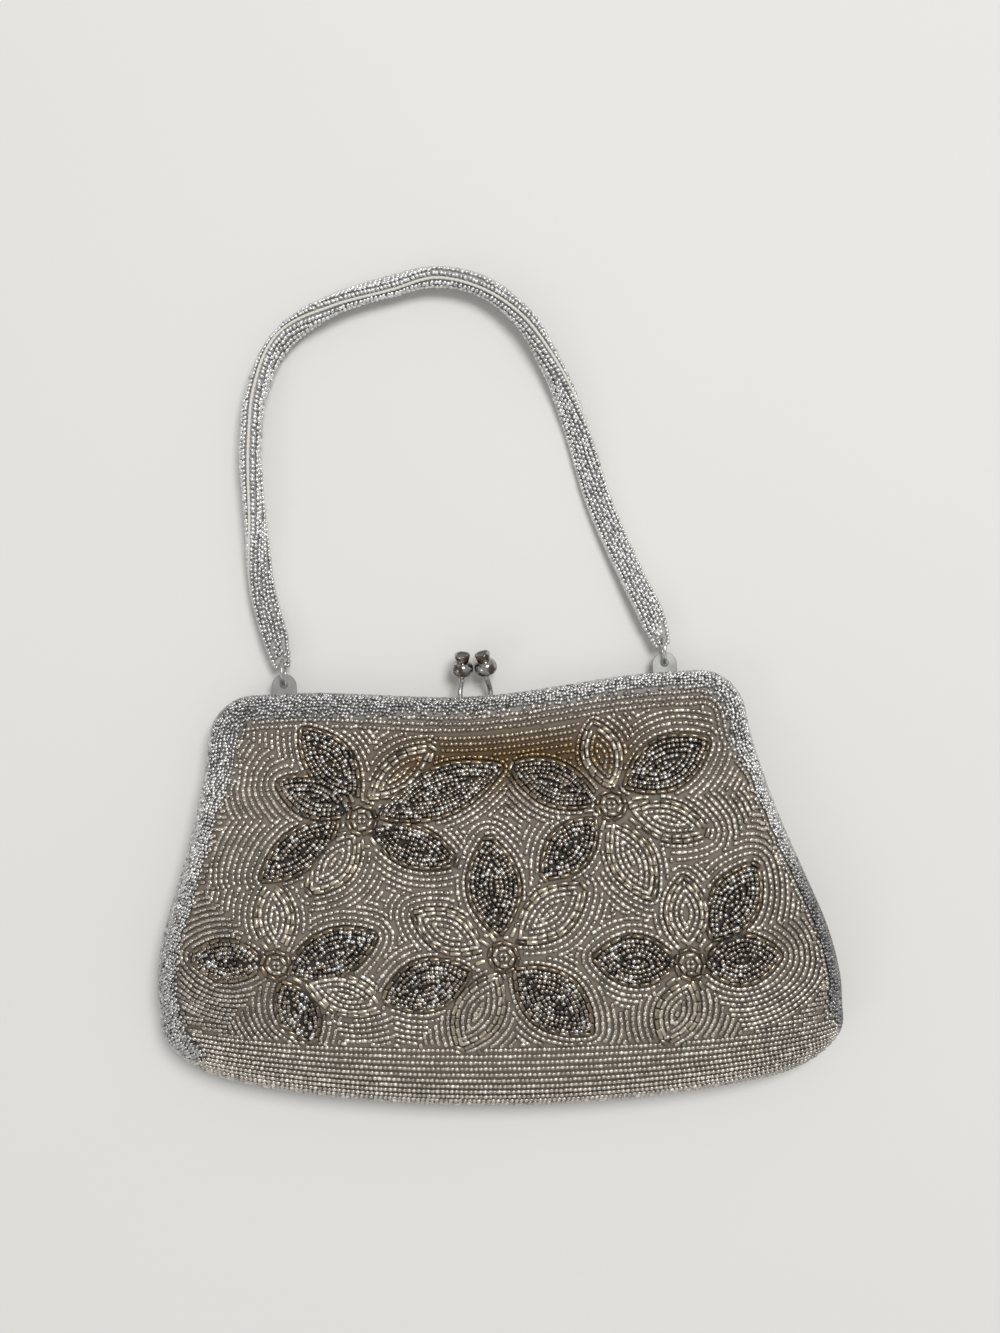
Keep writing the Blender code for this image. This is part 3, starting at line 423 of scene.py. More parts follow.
def shell_faces(rows, columns):
    """Quads of an outer grid, an inner grid behind it and the band that joins their edges."""
    index = np.arange(rows * columns).reshape(rows, columns)
    corners = [index[:-1, :-1], index[1:, :-1], index[1:, 1:], index[:-1, 1:]]
    quads = np.stack(corners, axis=-1).reshape(-1, 4)
    loop = np.concatenate([index[0, :-1], index[:-1, -1], index[-1, :0:-1], index[:0:-1, 0]])
    after = np.roll(loop, -1)
    band = np.stack([loop, after, after + rows * columns, loop + rows * columns], axis=-1)
    return np.concatenate([quads, quads[:, ::-1] + rows * columns, band])


def make_shell(name, outer, inner, side, look):
    """Closed mesh of an outer and an inner grid; side is 1 for the front and -1 for the back."""
    rows, columns = outer.shape[:2]
    points = lean(np.concatenate([outer.reshape(-1, 3), inner.reshape(-1, 3)]))
    faces = shell_faces(rows, columns)[:, ::side]
    return put_mesh(name, points, faces.tolist(), look)


def cloth_finish():
    """Plain-woven taupe cloth: two sets of fine threads, mottled, matt."""
    finish = Finish("Taupe backing cloth", Roughness=0.85)
    tone = finish.attribute("tone")
    weave = finish.weave(2500.0)
    mottle = finish.noise(90.0, 4.0)
    worn = finish.mix(mottle, (0.82, 0.80, 0.78), (1.22, 1.22, 1.22))
    return finish.surface(
        Base_Color=finish.mix(1.0, tone, worn, "MULTIPLY"),
        Normal=finish.bump(weave, 0.0001, 0.5),
    )


backing_cloth = cloth_finish()


def tint(piece, name, colours):
    """Colour of each point of a mesh, kept as an attribute for its finish."""
    shade = np.ones((len(piece.data.vertices), 4), np.float32)
    shade[:, :3] = colours
    layer = piece.data.color_attributes.new(name, "FLOAT_COLOR", "POINT")
    layer.data.foreach_set("color", shade.ravel())


def make_cloth(name, height, side):
    """Closed sheet under the face: the grid moved in along its normals, by depth and thickness."""
    grid = cloth_grid(height, CLOTH_INSET, CLOTH_COLUMNS, CLOTH_ROWS)
    normal = normals_of(grid) * side
    outer = grid - normal * CLOTH_DEPTH
    inner = grid - normal * (CLOTH_DEPTH + CLOTH_THICKNESS)
    limit = SPLIT_Z + side * SPLIT_CLEARANCE
    for layer in (outer, inner):
        layer[..., 2] = side * np.maximum(side * layer[..., 2], side * limit)
    return make_shell(name, outer, inner, side, backing_cloth)


def ride_front(piece):
    """Bakes the piece's placement into its points, and leaves it unattached."""
    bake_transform(piece)


front_cloth = make_cloth("front_cloth", front_height, 1)
ride_front(front_cloth)
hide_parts("front_panel_upper", "front_panel_lower")
back_cloth = make_cloth("back_cloth", back_height, -1)
tint(back_cloth, "tone", CLOTH_COLOUR)
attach(back_cloth, "back_half")
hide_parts("back_panel")


# Seed beads and bugles: how they are strung and laid
# Glass beads lined with silver, threaded and couched to the cloth row by row. A row is a curve on
# the face of the bag, and each bead lies along it with its back against the cloth.

SEED_LENGTH = 1.3
SEED_RADIUS = 0.76
SEED_SPACING = 1.46
ROW_PITCH = 1.86
BEAD_CENTRE_DEPTH = 0.70
BEAD_SIDES = 6
LENGTH_SPREAD = 0.05
RADIUS_SPREAD = 0.04
LOOSENESS = 0.05
LOOSE_LIMIT = 0.5
ALONG_LOOSENESS = 0.6
TURN_LOOSENESS = 1.6
REST_HEIGHT = 0.02
SEED_PROFILE = ((-0.5, 0.62), (0.0, 1.0), (0.5, 0.62))
ROW_SAMPLES = 1500
OUTLINE_SAMPLES = 3000
STATION_SPACING = 0.7
WALL_SAMPLES = 220
WALL_CROWDING = 2.5
WALL_ROWS = 96
WALL_STEP = 0.3
NORMAL_STEP = 0.3
ALONG_STEP = 0.4
BLOCK = 4000
rng = np.random.default_rng(7)


def run_length(points):
    """Running length of a polyline, from 0."""
    return np.concatenate([[0.0], np.cumsum(np.linalg.norm(np.diff(points, axis=0), axis=1))])


def read_at(places, known, values):
    """Columns of values, which are known at places along a line, read at other places."""
    columns = [np.interp(places, known, values[:, k]) for k in range(values.shape[1])]
    return np.stack(columns, axis=-1)


def full_turn(count):
    """Equal steps of angle round a circle."""
    return np.arange(count) * 2 * np.pi / count


row_samples = np.linspace(BOTTOM_Y, TOP_Y, ROW_SAMPLES)
middle_line = [row_samples + row_shift(0.0, row_samples), front_height(0.0, row_samples)]
flat_samples = run_length(np.stack(middle_line, axis=1))
flat_samples = flat_samples - np.interp(HINGE_Y, row_samples, flat_samples)


def face_place(p, q):
    """Point of the front for a flat place: x = p, and q is the length along the middle line."""
    row = np.interp(q, flat_samples, row_samples)
    p = np.clip(p, -half_width(row), half_width(row))
    return lean(np.stack([p, row + row_shift(p, row), front_height(p, row)], axis=-1))


def flat_of(plan):
    """Flat place of a point seen from above: the lean is undone by repeated correction."""
    plan = np.asarray(plan, float)[..., :2]
    x, y = plan[..., 0], plan[..., 1]
    for _ in range(LEAN_CORRECTIONS):
        share = lean_share(y)
        x, y = plan[..., 0] - LEAN_SHIFT * share, plan[..., 1] + LEAN_SLOPE * x * share
    return np.stack([x, np.interp(row_of(x, y), row_samples, flat_samples)], axis=-1)


def evenly(points, spacing):
    """Closed polyline with its points moved to equal steps near the spacing."""
    ring = np.concatenate([points, points[:1]])
    length = run_length(ring)
    count = max(int(round(length[-1] / spacing)), 2)
    return read_at(np.linspace(0.0, length[-1], count, endpoint=False), length, ring)


def outline_of_bag():
    """Outline in plan at the split, counter-clockwise: bottom, right side, top, left side."""
    count = OUTLINE_SAMPLES
    across = np.linspace(-1, 1, count)
    rise = BOTTOM_Y + (TOP_Y - BOTTOM_Y) * (1 - np.cos(np.linspace(0, 1, count) * np.pi)) / 2
    bottom = np.stack([across * half_width(BOTTOM_Y), np.full(count, BOTTOM_Y)], axis=1)
    right = np.stack([half_width(rise), rise], axis=1)
    top = np.stack([-across * half_width(TOP_Y), np.full(count, TOP_Y)], axis=1)
    left = np.stack([-half_width(rise[::-1]), rise[::-1]], axis=1)
    rows = np.concatenate([bottom[:-1], right[:-1], top[:-1], left[:-1]])
    return np.stack([rows[:, 0], rows[:, 1] + row_shift(rows[:, 0], rows[:, 1])], axis=1)


def wall_table(height, reach):
    """Points of the edge zone: stations round the outline, and equal steps up the wall."""
    edge = evenly(outline_of_bag(), STATION_SPACING)
    along = np.roll(edge, -3, axis=0) - np.roll(edge, 3, axis=0)
    inward = unit(np.stack([-along[:, 1], along[:, 0]], axis=1))
    distance = reach * np.linspace(0.0, 1.0, WALL_SAMPLES) ** WALL_CROWDING
    plan = edge[:, None, :] + inward[:, None, :] * distance[None, :, None]
    z = height(plan[..., 0], row_of(plan[..., 0], plan[..., 1]))
    profile = np.concatenate([plan, z[..., None]], axis=-1)
    length = np.cumsum(np.linalg.norm(np.diff(profile, axis=1), axis=-1), axis=1)
    length = np.concatenate([np.zeros((len(edge), 1)), length], axis=1)
    want = np.arange(WALL_ROWS) * WALL_STEP
    before = np.clip((length[:, :, None] <= want).sum(axis=1) - 1, 0, length.shape[1] - 2)
    low = np.take_along_axis(length, before, axis=1)
    high = np.take_along_axis(length, before + 1, axis=1)
    share = np.clip((want - low) / np.maximum(high - low, 1e-9), 0.0, 1.0)[..., None]
    first = np.take_along_axis(profile, before[..., None], axis=1)
    second = np.take_along_axis(profile, before[..., None] + 1, axis=1)
    return lean(first + (second - first) * share)


def place_in(table):
    """Surface function of a table: u counts stations round the outline, v is length up the wall."""

    def place(u, v):
        u = np.asarray(u, float) % len(table)
        v = np.clip(np.asarray(v, float) / WALL_STEP, 0.0, table.shape[1] - 1.001)
        i, j = u.astype(int), v.astype(int)
        a, b = (u - i)[..., None], (v - j)[..., None]
        after = (i + 1) % len(table)
        low = table[i, j] * (1 - a) + table[after, j] * a
        high = table[i, j + 1] * (1 - a) + table[after, j + 1] * a
        return low * (1 - b) + high * b

    return place


def face_normal(place, u, v):
    """Unit normal of a surface function: the cross product of a short step each way."""
    step = NORMAL_STEP
    across = place(u + step, v) - place(u - step, v)
    return unit(np.cross(across, place(u, v + step) - place(u, v - step)))


def laid_flat(along, normal):
    """Directions without what they have along the normal, made unit."""
    return unit(along - normal * (along * normal).sum(axis=1, keepdims=True))


def strung(place, u, v, spacing, offset=0.0):
    """Beads at equal steps of a row. Columns: centre, direction along the row, outward normal."""
    row = place(u, v)
    length = run_length(row)
    count = int(length[-1] // spacing)
    if count < 1:
        return np.zeros((0, 9))
    at = (np.arange(count) + 0.5) * length[-1] / count + offset
    at = at[at < length[-1]]
    u, v = np.interp(at, length, u), np.interp(at, length, v)
    normal = face_normal(place, u, v)
    along = read_at(at + ALONG_STEP, length, row) - read_at(at - ALONG_STEP, length, row)
    along = laid_flat(along, normal)
    sound = (np.linalg.norm(normal, axis=1) > 0.5) & (np.linalg.norm(along, axis=1) > 0.5)
    return np.concatenate([place(u, v), along, normal], axis=1)[sound]


def nearest(points, others):
    """Distance from each point to the closest of the others."""
    best = np.full(len(points), 1e12)
    for first in range(0, len(others), BLOCK):
        block = others[first:first + BLOCK]
        square = (points**2).sum(axis=1)[:, None] + (block**2).sum(axis=1) - 2 * points @ block.T
        best = np.minimum(best, square.min(axis=1))
    return np.sqrt(np.maximum(best, 0.0))


def inside(points, polygon):
    """Whether each flat point lies in the polygon, by counting the edges that it looks across."""
    after = np.roll(polygon, -1, axis=0)
    x, y = points[:, 0, None], points[:, 1, None]
    crossed = (polygon[:, 1] > y) != (after[:, 1] > y)
    rise = np.where(after[:, 1] == polygon[:, 1], 1e-9, after[:, 1] - polygon[:, 1])
    slope = (after[:, 0] - polygon[:, 0]) / rise
    return ((crossed & (x < slope * (y - polygon[:, 1]) + polygon[:, 0])).sum(axis=1) % 2) == 1


def tube_faces(rings, sides, flipped=False):
    """Quads between rings of points set one after another, and the two flat ends."""
    index = np.arange(rings * sides).reshape(rings, sides)
    after = np.roll(index, -1, axis=1)
    quads = np.stack([index[:-1], after[:-1], after[1:], index[1:]], axis=-1).reshape(-1, 4)
    ends = np.stack([index[0, ::-1], index[-1]])
    if flipped:
        return np.roll(quads[:, ::-1], 1, axis=1), ends[:, ::-1]
    return quads, ends


def bead_template(profile):
    """Rings of a turned bead of length 1 and radius 1, with its axis along X."""
    turn = full_turn(BEAD_SIDES)
    y, z = np.cos(turn), np.sin(turn)
    rings = [np.stack([0 * turn + at, y * radius, z * radius], axis=1) for at, radius in profile]
    return np.concatenate(rings)


def make_beads(
    name, beads, length, radius, colours, look,
    profile=SEED_PROFILE, depth=BEAD_CENTRE_DEPTH, loose=LOOSENESS,
):
    """One mesh of many beads: each is the turned template, set along its row under the face."""
    points = bead_template(profile)
    quads, ends = tube_faces(len(profile), BEAD_SIDES)
    count = len(beads)
    length = length * (1 + LENGTH_SPREAD * rng.standard_normal((count, 1, 1)))
    radius = radius * (1 + RADIUS_SPREAD * rng.standard_normal((count, 1, 1)))
    centre, along, normal = beads[:, 0:3], beads[:, 3:6], beads[:, 6:9]
    shift = np.clip(loose * rng.standard_normal((count, 2)), -LOOSE_LIMIT, LOOSE_LIMIT)
    sideways = np.cross(normal, along)
    centre = centre + along * shift[:, :1] * ALONG_LOOSENESS + sideways * shift[:, 1:]
    centre = centre - normal * depth
    along = unit(along + TURN_LOOSENESS * loose * rng.standard_normal((count, 1)) * sideways)
    across = np.cross(normal, along)
    x, y, z = points[None, :, 0, None], points[None, :, 1, None], points[None, :, 2, None]
    made = centre[:, None, :] + x * along[:, None, :] * length
    made = made + (y * across[:, None, :] + z * normal[:, None, :]) * radius
    made[..., 2] = np.maximum(made[..., 2], REST_HEIGHT)
    start = np.arange(count)[:, None, None] * len(points)
    faces = (quads[None] + start).reshape(-1, 4).tolist()
    for end in ends:
        faces += (end[None] + start[:, :, 0]).tolist()
    piece = put_mesh(name, made.reshape(-1, 3), faces, look)
    tint(piece, "bead", np.repeat(colours, len(points), axis=0))
    return piece


def bead_finish(name, roughness, metallic, coat):
    """Silver-lined glass: each bead's own tone, cloudy wear in the lining and a clear coat."""
    finish = Finish(name, Coat_Roughness=0.06)
    tone = finish.attribute("bead")
    cloud = finish.noise(700.0, 3.0)
    worn = finish.mix(cloud.between(0.3, 0.75), (1.1, 1.1, 1.1), (0.72, 0.70, 0.67))
    return finish.surface(
        Base_Color=finish.mix(1.0, tone, worn, "MULTIPLY"),
        Roughness=cloud * 0.2 + (roughness - 0.1),
        Metallic=metallic,
        Coat_Weight=coat,
    )


# Beaded front: the five flowers, edge rows and ground
# Petals outlined in brass-brown bugles and filled with cut steel beads or with clear seeds lie in
# a ground of silver-lined seeds, whose rows follow the edge of the bag and echo the petals.

PETALS = (
    (-38.0, 33.2, -54.7, 54.9, 12.8, 1), (-39.4, 29.0, -62.9, 38.9, 10.6, 1),
    (-43.6, 27.0, -68.0, 10.0, 11.1, 1), (-38.0, 23.0, -53.6, 5.7, 12.0, 0),
    (-34.6, 23.4, -8.1, 12.1, 11.1, 1), (-31.2, 27.4, 7.2, 39.6, 13.1, 1),
    (-34.5, 33.0, -13.7, 46.8, 9.5, 0),
    (36.0, 27.9, 9.8, 39.9, 11.7, 1), (34.6, 22.8, 17.8, 6.1, 12.2, 1),
    (39.6, 22.0, 50.3, -1.9, 12.0, 0), (45.0, 25.2, 68.9, 16.6, 10.6, 0),
    (44.6, 32.0, 72.0, 44.1, 13.9, 1), (40.6, 31.9, 36.2, 51.9, 11.1, 0),
    (3.6, -10.0, 1.7, 19.0, 14.5, 1), (8.3, -11.8, 30.1, 3.3, 12.9, 0),
    (7.8, -20.5, 29.5, -41.6, 16.1, 1), (2.3, -21.5, -10.6, -44.4, 13.2, 0),
    (-5.9, -20.3, -32.6, -27.4, 14.5, 1), (-1.7, -13.8, -22.1, -2.3, 11.1, 0),
    (-63.6, -12.1, -65.0, 9.5, 10.6, 0), (-60.9, -17.9, -33.6, -7.8, 12.9, 1),
    (-55.8, -21.0, -32.0, -30.0, 11.0, 0), (-62.9, -20.4, -54.6, -39.4, 11.5, 1),
    (-67.4, -14.6, -91.5, -12.3, 11.5, 1),
    (60.4, -17.6, 60.2, 4.0, 11.5, 0), (67.5, -15.2, 83.0, 6.1, 13.8, 1),
    (64.3, -22.4, 88.6, -21.5, 13.8, 1), (60.2, -26.9, 51.6, -46.2, 11.7, 0),
    (56.5, -21.7, 31.5, -18.3, 13.8, 1),
)
CENTRES = ((-36.5, 26.7), (39.9, 26.8), (4.4, -16.5), (-64.2, -15.2), (60.4, -22.0))
CENTRE_RADIUS = 4.3
PETAL_FULLNESS = 1.07
PETAL_POINTEDNESS = 0.78
PETAL_SAMPLES = 40
PETAL_STEP = 0.5
PETAL_ROUNDING = 2
AXIS_PART = slice(6, 33)
AXIS_GAP = 0.7
BUGLE_LENGTH = 3.0
BUGLE_RADIUS = 0.72
BUGLE_SPACING = 3.2
BUGLE_GAP = 1.02
BUGLE_HALF = 1.05
SHORT_SPACING = 2.9
SHORT_GAP = 1.08
SHORT_HALF = 0.9
BUGLE_PROFILE = ((-0.5, 0.86), (-0.45, 1.0), (0.45, 1.0), (0.5, 0.86))
DASH_LENGTH = 1.62
DASH_RADIUS = 0.69
DASH_SPACING = 1.74
DASH_PROFILE = ((-0.5, 0.76), (-0.3, 1.0), (0.3, 1.0), (0.5, 0.76))
FINE_LENGTH = 1.02
FINE_RADIUS = 0.6
FINE_SPACING = 1.12
FINE_PITCH = 1.14
FINE_RAGGEDNESS = 0.5
FINE_REACH = 8.0
FINE_REACH_LEFT = 3.0
FINE_REACH_SIDES = (5.5, 4.5)
FINE_GAP = 0.97
FINE_LOOSE_GAP = 0.84
SILVER_END_Y = -40.0
SILVER_FADE = 14.0
EDGE_GAP = 1.12
EDGE_END_Y = -46.0
EDGE_MOUTH_Y = 44.0
EDGE_MARGIN = 2.6
CENTRE_RINGS = (
    ("bugle", CENTRE_RADIUS, BUGLE_SPACING, 0.9, 1.0),
    ("centre", CENTRE_RADIUS - 1.65, 2.6, 1.1, 0.6),
    ("seed_centre", 0.95, 1.45, 1.0, 0.0),
)
RAY_COUNT = 14
RAY_TURN = 0.2
RAY_START = CENTRE_RADIUS + 0.75
RAY_SPACING = 3.1
PETAL_ROWS = 8
DARK_ROWS = (1.22, 1.36, 1.38, 1.12)
PALE_ROWS = (1.3, 1.66, DASH_SPACING, 1.3)
ROW_TOLERANCE = 0.93
EDGE_REACH = 15.5
WALL_REACH = 34.0
ECHO_ROWS = 9
FIRST_ECHO = 1.55
OUTLINE_GAP = 1.3
LEVEL_PITCH = 2.12
LEVEL_SAMPLES = 400
LEVEL_SPAN = 104.0
BOTTOM_SPAN = 107.0
MOUTH_SPAN = (-14.0, 32.0)
BOTTOM_STRAIGHT_ROW = -44.0
MOUTH_STRAIGHT_ROW = 43.0
FACE_GAP = 1.4
LOOSE_TRIES = 260
LOOSE_LOW = 0.4
LOOSE_MARGIN = 2.0
FILLER_CUT_GAP = 1.22
FILLER_GROUND_GAP = 1.5
RIM_HEIGHT = 0.7
BORDER_HEIGHT = 10.5
FILLER_GRID = 3.0
FILLER_STEP = 0.75

edge_table = wall_table(front_height, WALL_REACH)
edge_place = place_in(edge_table)


def petal_outline(petal):
    """Pointed oval in plan: half its width times a power of the sine of half a turn along it."""
    base, tip = np.array(petal[0:2]), np.array(petal[2:4])
    axis = tip - base
    side = np.array([-axis[1], axis[0]]) / np.linalg.norm(axis)
    share = (1 - np.cos(np.linspace(0, np.pi, PETAL_SAMPLES))) / 2
    half = PETAL_FULLNESS * 0.5 * petal[4] * np.sin(np.pi * share) ** PETAL_POINTEDNESS
    right = base + axis * share[:, None] - side * half[:, None]
    left = base + axis * share[:, None] + side * half[:, None]
    return np.concatenate([right[:-1], left[:0:-1]])


def rounded(points, passes):
    """Closed polyline with each point moved towards its neighbours, pass by pass."""
    for _ in range(passes):
        points = (np.roll(points, 1, axis=0) + 2 * points + np.roll(points, -1, axis=0)) / 4
    return points


def moved_out(points, distance):
    """Closed counter-clockwise polyline moved outwards along its normals."""
    along = np.roll(points, -1, axis=0) - np.roll(points, 1, axis=0)
    outward = np.stack([along[:, 1], -along[:, 0]], axis=1)
    return points + distance * outward / np.linalg.norm(outward, axis=1, keepdims=True)


def spots_of(beads, reach):
    """Places that beads take: their centres, and both ends of those that reach out."""
    shifts = (-reach, 0.0, reach) if reach else (0.0,)
    return [beads[:, 0:3] + beads[:, 3:6] * shift for shift in shifts]


class Bed:
    """The places already filled on one face, so that no two beads share a place."""

    def __init__(self):
        self.taken = np.zeros((0, 3))
        self.rows = {}

    def lay(self, kind, beads, gap, reach=0.0):
        """Keeps the beads that are clear of the others by the gap, and files them under a kind."""
        if len(beads) and len(self.taken):
            apart = np.min([nearest(spots, self.taken) for spots in spots_of(beads, reach)], axis=0)
            beads = beads[apart >= gap]
        if len(beads):
            self.taken = np.concatenate([self.taken] + spots_of(beads, reach))
            self.rows.setdefault(kind, []).append(beads)

    def all_of(self, kind):
        return np.concatenate(self.rows[kind])


bed = Bed()
flat_outlines = [evenly(flat_of(petal_outline(petal)), PETAL_STEP) for petal in PETALS]
outlines = [rounded(outline, PETAL_ROUNDING) for outline in flat_outlines]
outline_points = np.concatenate(outlines)
centre_flats = flat_of(np.array(CENTRES))


def in_a_petal(flat, skipped=None):
    """Whether each flat place lies in any petal, or in any but one."""
    found = np.zeros(len(flat), bool)
    for number, outline in enumerate(outlines):
        if number != skipped:
            found |= inside(flat, outline)
    return found


def in_a_dark_petal(flat):
    """Whether each flat place lies in a petal of dark cut beads."""
    found = np.zeros(len(flat), bool)
    for outline, petal in zip(outlines, PETALS):
        if petal[5] == 1:
            found |= inside(flat, outline)
    return found


def beside_petals(flat, distance):
    """Whether each flat place is outside all petals, and further than this from their outlines."""
    return ~in_a_petal(flat) & (nearest(flat, outline_points) > distance)


def bead_flats(beads):
    return flat_of(beads[:, 0:2])


def ring_path(flat_centre, radius):
    """Circle of flat places."""
    turn = full_turn(60)
    return flat_centre + radius * np.stack([np.cos(turn), np.sin(turn)], axis=1)


def lay_path(kind, path, spacing, gap, closed=True, reach=0.0, test=None):
    """Strings one row along a flat path and lays what passes the test."""
    if closed:
        path = np.concatenate([path, path[:1]])
    offset = 0.0 if closed else rng.uniform(0, spacing)
    beads = strung(face_place, path[:, 0], path[:, 1], spacing, offset)
    if test is not None and len(beads):
        beads = beads[test(bead_flats(beads))]
    bed.lay(kind, beads, gap, reach)


def lay_centres():
    """Each centre: a ring of bugles, a smaller one of short bugles, a few seeds, and rays."""

    def test(flat):
        return ~in_a_petal(flat)

    for flat in centre_flats:
        for kind, radius, spacing, gap, reach in CENTRE_RINGS:
            lay_path(kind, ring_path(flat, radius), spacing, gap, reach=reach)
        for angle in full_turn(RAY_COUNT) + RAY_TURN:
            ray = np.array([np.cos(angle), np.sin(angle)])
            path = flat + ray * np.array([RAY_START, RAY_START + BUGLE_SPACING])[:, None]
            lay_path("ray", path, RAY_SPACING, 1.0, closed=False, reach=1.0, test=test)


def lay_outlines():
    """Bugles end to end along each petal, left out where they would lie in another petal."""
    for number, outline in enumerate(outlines):

        def test(flat, number=number):
            return ~in_a_petal(flat, number)

        kind = "bugle" if PETALS[number][5] == 1 else "pale_bugle"
        lay_path(kind, outline, BUGLE_SPACING, BUGLE_GAP, reach=BUGLE_HALF, test=test)


def lay_petals():
    """Rows inside each petal: close cut beads, or bugles and seeds that echo the outline."""
    for outline, petal in zip(outlines, PETALS):
        dark = petal[5] == 1
        first, pitch, spacing, gap = DARK_ROWS if dark else PALE_ROWS
        axis_line = flat_of(np.linspace(petal[0:2], petal[2:4], PETAL_SAMPLES))[AXIS_PART]
        for step in range(PETAL_ROWS):
            inset = first + step * pitch

            def test(flat, inset=inset, outline=outline, dark=dark, axis_line=axis_line):
                kept = inside(flat, outline) & (nearest(flat, outline) > ROW_TOLERANCE * inset)
                return kept & (nearest(flat, axis_line) > AXIS_GAP) if dark else kept

            path = moved_out(outline, -inset)
            if dark:
                lay_path("cut", path, spacing, gap, test=test)
            elif step == 0:
                lay_path("light_bugle", path, SHORT_SPACING, SHORT_GAP, reach=SHORT_HALF, test=test)
            else:
                lay_path("light", path, spacing, gap, test=test)


def lay_echoes(first, last):
    """Seeds that echo the petals outside, row by row."""
    for step in range(first, last):
        distance = FIRST_ECHO + step * ROW_PITCH

        def test(flat, distance=distance):
            return beside_petals(flat, ROW_TOLERANCE * distance)

        for outline in outlines:
            path = moved_out(outline, distance)
            lay_path("ground", path, DASH_SPACING, FACE_GAP, test=test)


def above_bottom(y):
    """1 over most of the face, and 0 at the bottom, which has no silver edge."""
    return 1 - smoothstep((SILVER_END_Y - y) / SILVER_FADE)


def fine_reach(x, y):
    """How far up the wall the fine silver beads reach: most at the left, none at the bottom."""
    side = smoothstep((np.abs(x) - 66.0) / 20.0)
    reach = FINE_REACH + FINE_REACH_LEFT * smoothstep((-x - 10.0) / 40.0)
    reach = reach + side * np.where(x < 0, *FINE_REACH_SIDES)
    return reach * above_bottom(y)


def lay_rings(kind, heights, spacing, gap, test):
    """Seeds in rings at equal lengths up the wall from the split, where the test allows."""
    stations = np.arange(len(edge_table) + 1.0)
    for height_up in heights:
        up = np.full(len(stations), height_up)
        beads = strung(edge_place, stations, up, spacing, rng.uniform(0, spacing))
        kept = beside_petals(bead_flats(beads), OUTLINE_GAP) & test(beads, height_up)
        bed.lay(kind, beads[kept], gap)


def in_fine_zone(beads, height_up):
    """Within the reach of the fine beads, with a ragged end."""
    ragged = height_up + FINE_RAGGEDNESS * rng.standard_normal(len(beads))
    return ragged < fine_reach(beads[:, 0], beads[:, 1])


def in_ring_zone(beads, height_up):
    """Just past the fine beads, and over the whole edge zone at the mouth."""
    x, y = beads[:, 0], beads[:, 1]
    reach = np.where(y > EDGE_MOUTH_Y, EDGE_REACH, fine_reach(x, y) + EDGE_MARGIN)
    return (y > EDGE_END_Y) & (height_up < reach)


def turned_beads(place, u, v):
    """Beads at places of a surface, each turned at random about its normal."""
    normal = face_normal(place, u, v)
    turn = rng.uniform(0, np.pi, len(u))
    along = laid_flat(np.stack([np.cos(turn), np.sin(turn), 0 * turn], axis=1), normal)
    return np.concatenate([place(u, v), along, normal], axis=1)


def lay_loose(kind, tries, gap, beyond):
    """Loose silver seeds sewn into the gaps of the edge zone, a few hundred places at a time."""
    for _ in range(tries):
        u = rng.uniform(0, len(edge_table), LOOSE_TRIES)
        v = rng.uniform(LOOSE_LOW, EDGE_REACH + LOOSE_MARGIN, LOOSE_TRIES)
        beads = turned_beads(edge_place, u, v)
        reach = fine_reach(beads[:, 0], beads[:, 1])
        kept = (v < reach + beyond) & (reach > 1.0) & ~in_a_petal(bead_flats(beads))
        beads = beads[kept]
        apart = np.linalg.norm(beads[:, None, 0:3] - beads[None, :, 0:3], axis=2)
        first = ~np.any(np.tril(apart < gap, -1), axis=1)
        bed.lay(kind, beads[first], gap)


def ring_of(height_up):
    """Flat places of the ring at one length up the wall."""
    stations = np.arange(0.0, len(edge_table), 2.0)
    return bead_flats(edge_place(stations, np.full(len(stations), height_up)))


def bottom_rows():
    """Flat heights of the level rows at the bottom: further apart where the face is steep."""
    steepness = np.clip(np.gradient(flat_samples, row_samples), 1.0, 1.3)[1:]
    steps = np.concatenate([[0.0], np.cumsum(np.diff(flat_samples) / steepness)]) / LEVEL_PITCH
    last = np.interp(bottom_flat, flat_samples, steps)
    return np.interp(np.arange(0.35, last, 1.0), steps, flat_samples)


def lay_level_rows(kind, spacing, heights, left, right, limit):
    """Seeds in rows level with the mouth and the bottom seam, at some flat heights."""

    def test(flat):
        return inside(flat, limit) & beside_petals(flat, OUTLINE_GAP)

    across = np.linspace(left, right, LEVEL_SAMPLES)
    for q in heights:
        path = np.stack([across, np.full(LEVEL_SAMPLES, q)], axis=1)
        lay_path(kind, path, spacing, FACE_GAP, closed=False, test=test)


def lay_fillers():
    """Single seeds in the holes that are left where rows meet, on grids shifted step by step."""
    low, high = border[:, 1].min(), border[:, 1].max()
    starts = np.arange(0.0, FILLER_GRID, FILLER_STEP)
    for a, b in [(a, b) for a in starts for b in starts]:
        across = np.arange(a - LEVEL_SPAN, LEVEL_SPAN, FILLER_GRID)
        p, q = np.meshgrid(across, np.arange(low + b, high, FILLER_GRID))
        flat = np.stack([p.ravel(), q.ravel()], axis=1)
        flat = flat[inside(flat, border)]
        dark = in_a_dark_petal(flat)
        beads = turned_beads(face_place, flat[:, 0], flat[:, 1])
        bed.lay("cut", beads[dark], FILLER_CUT_GAP)
        bed.lay("ground", beads[~dark], FILLER_GROUND_GAP)


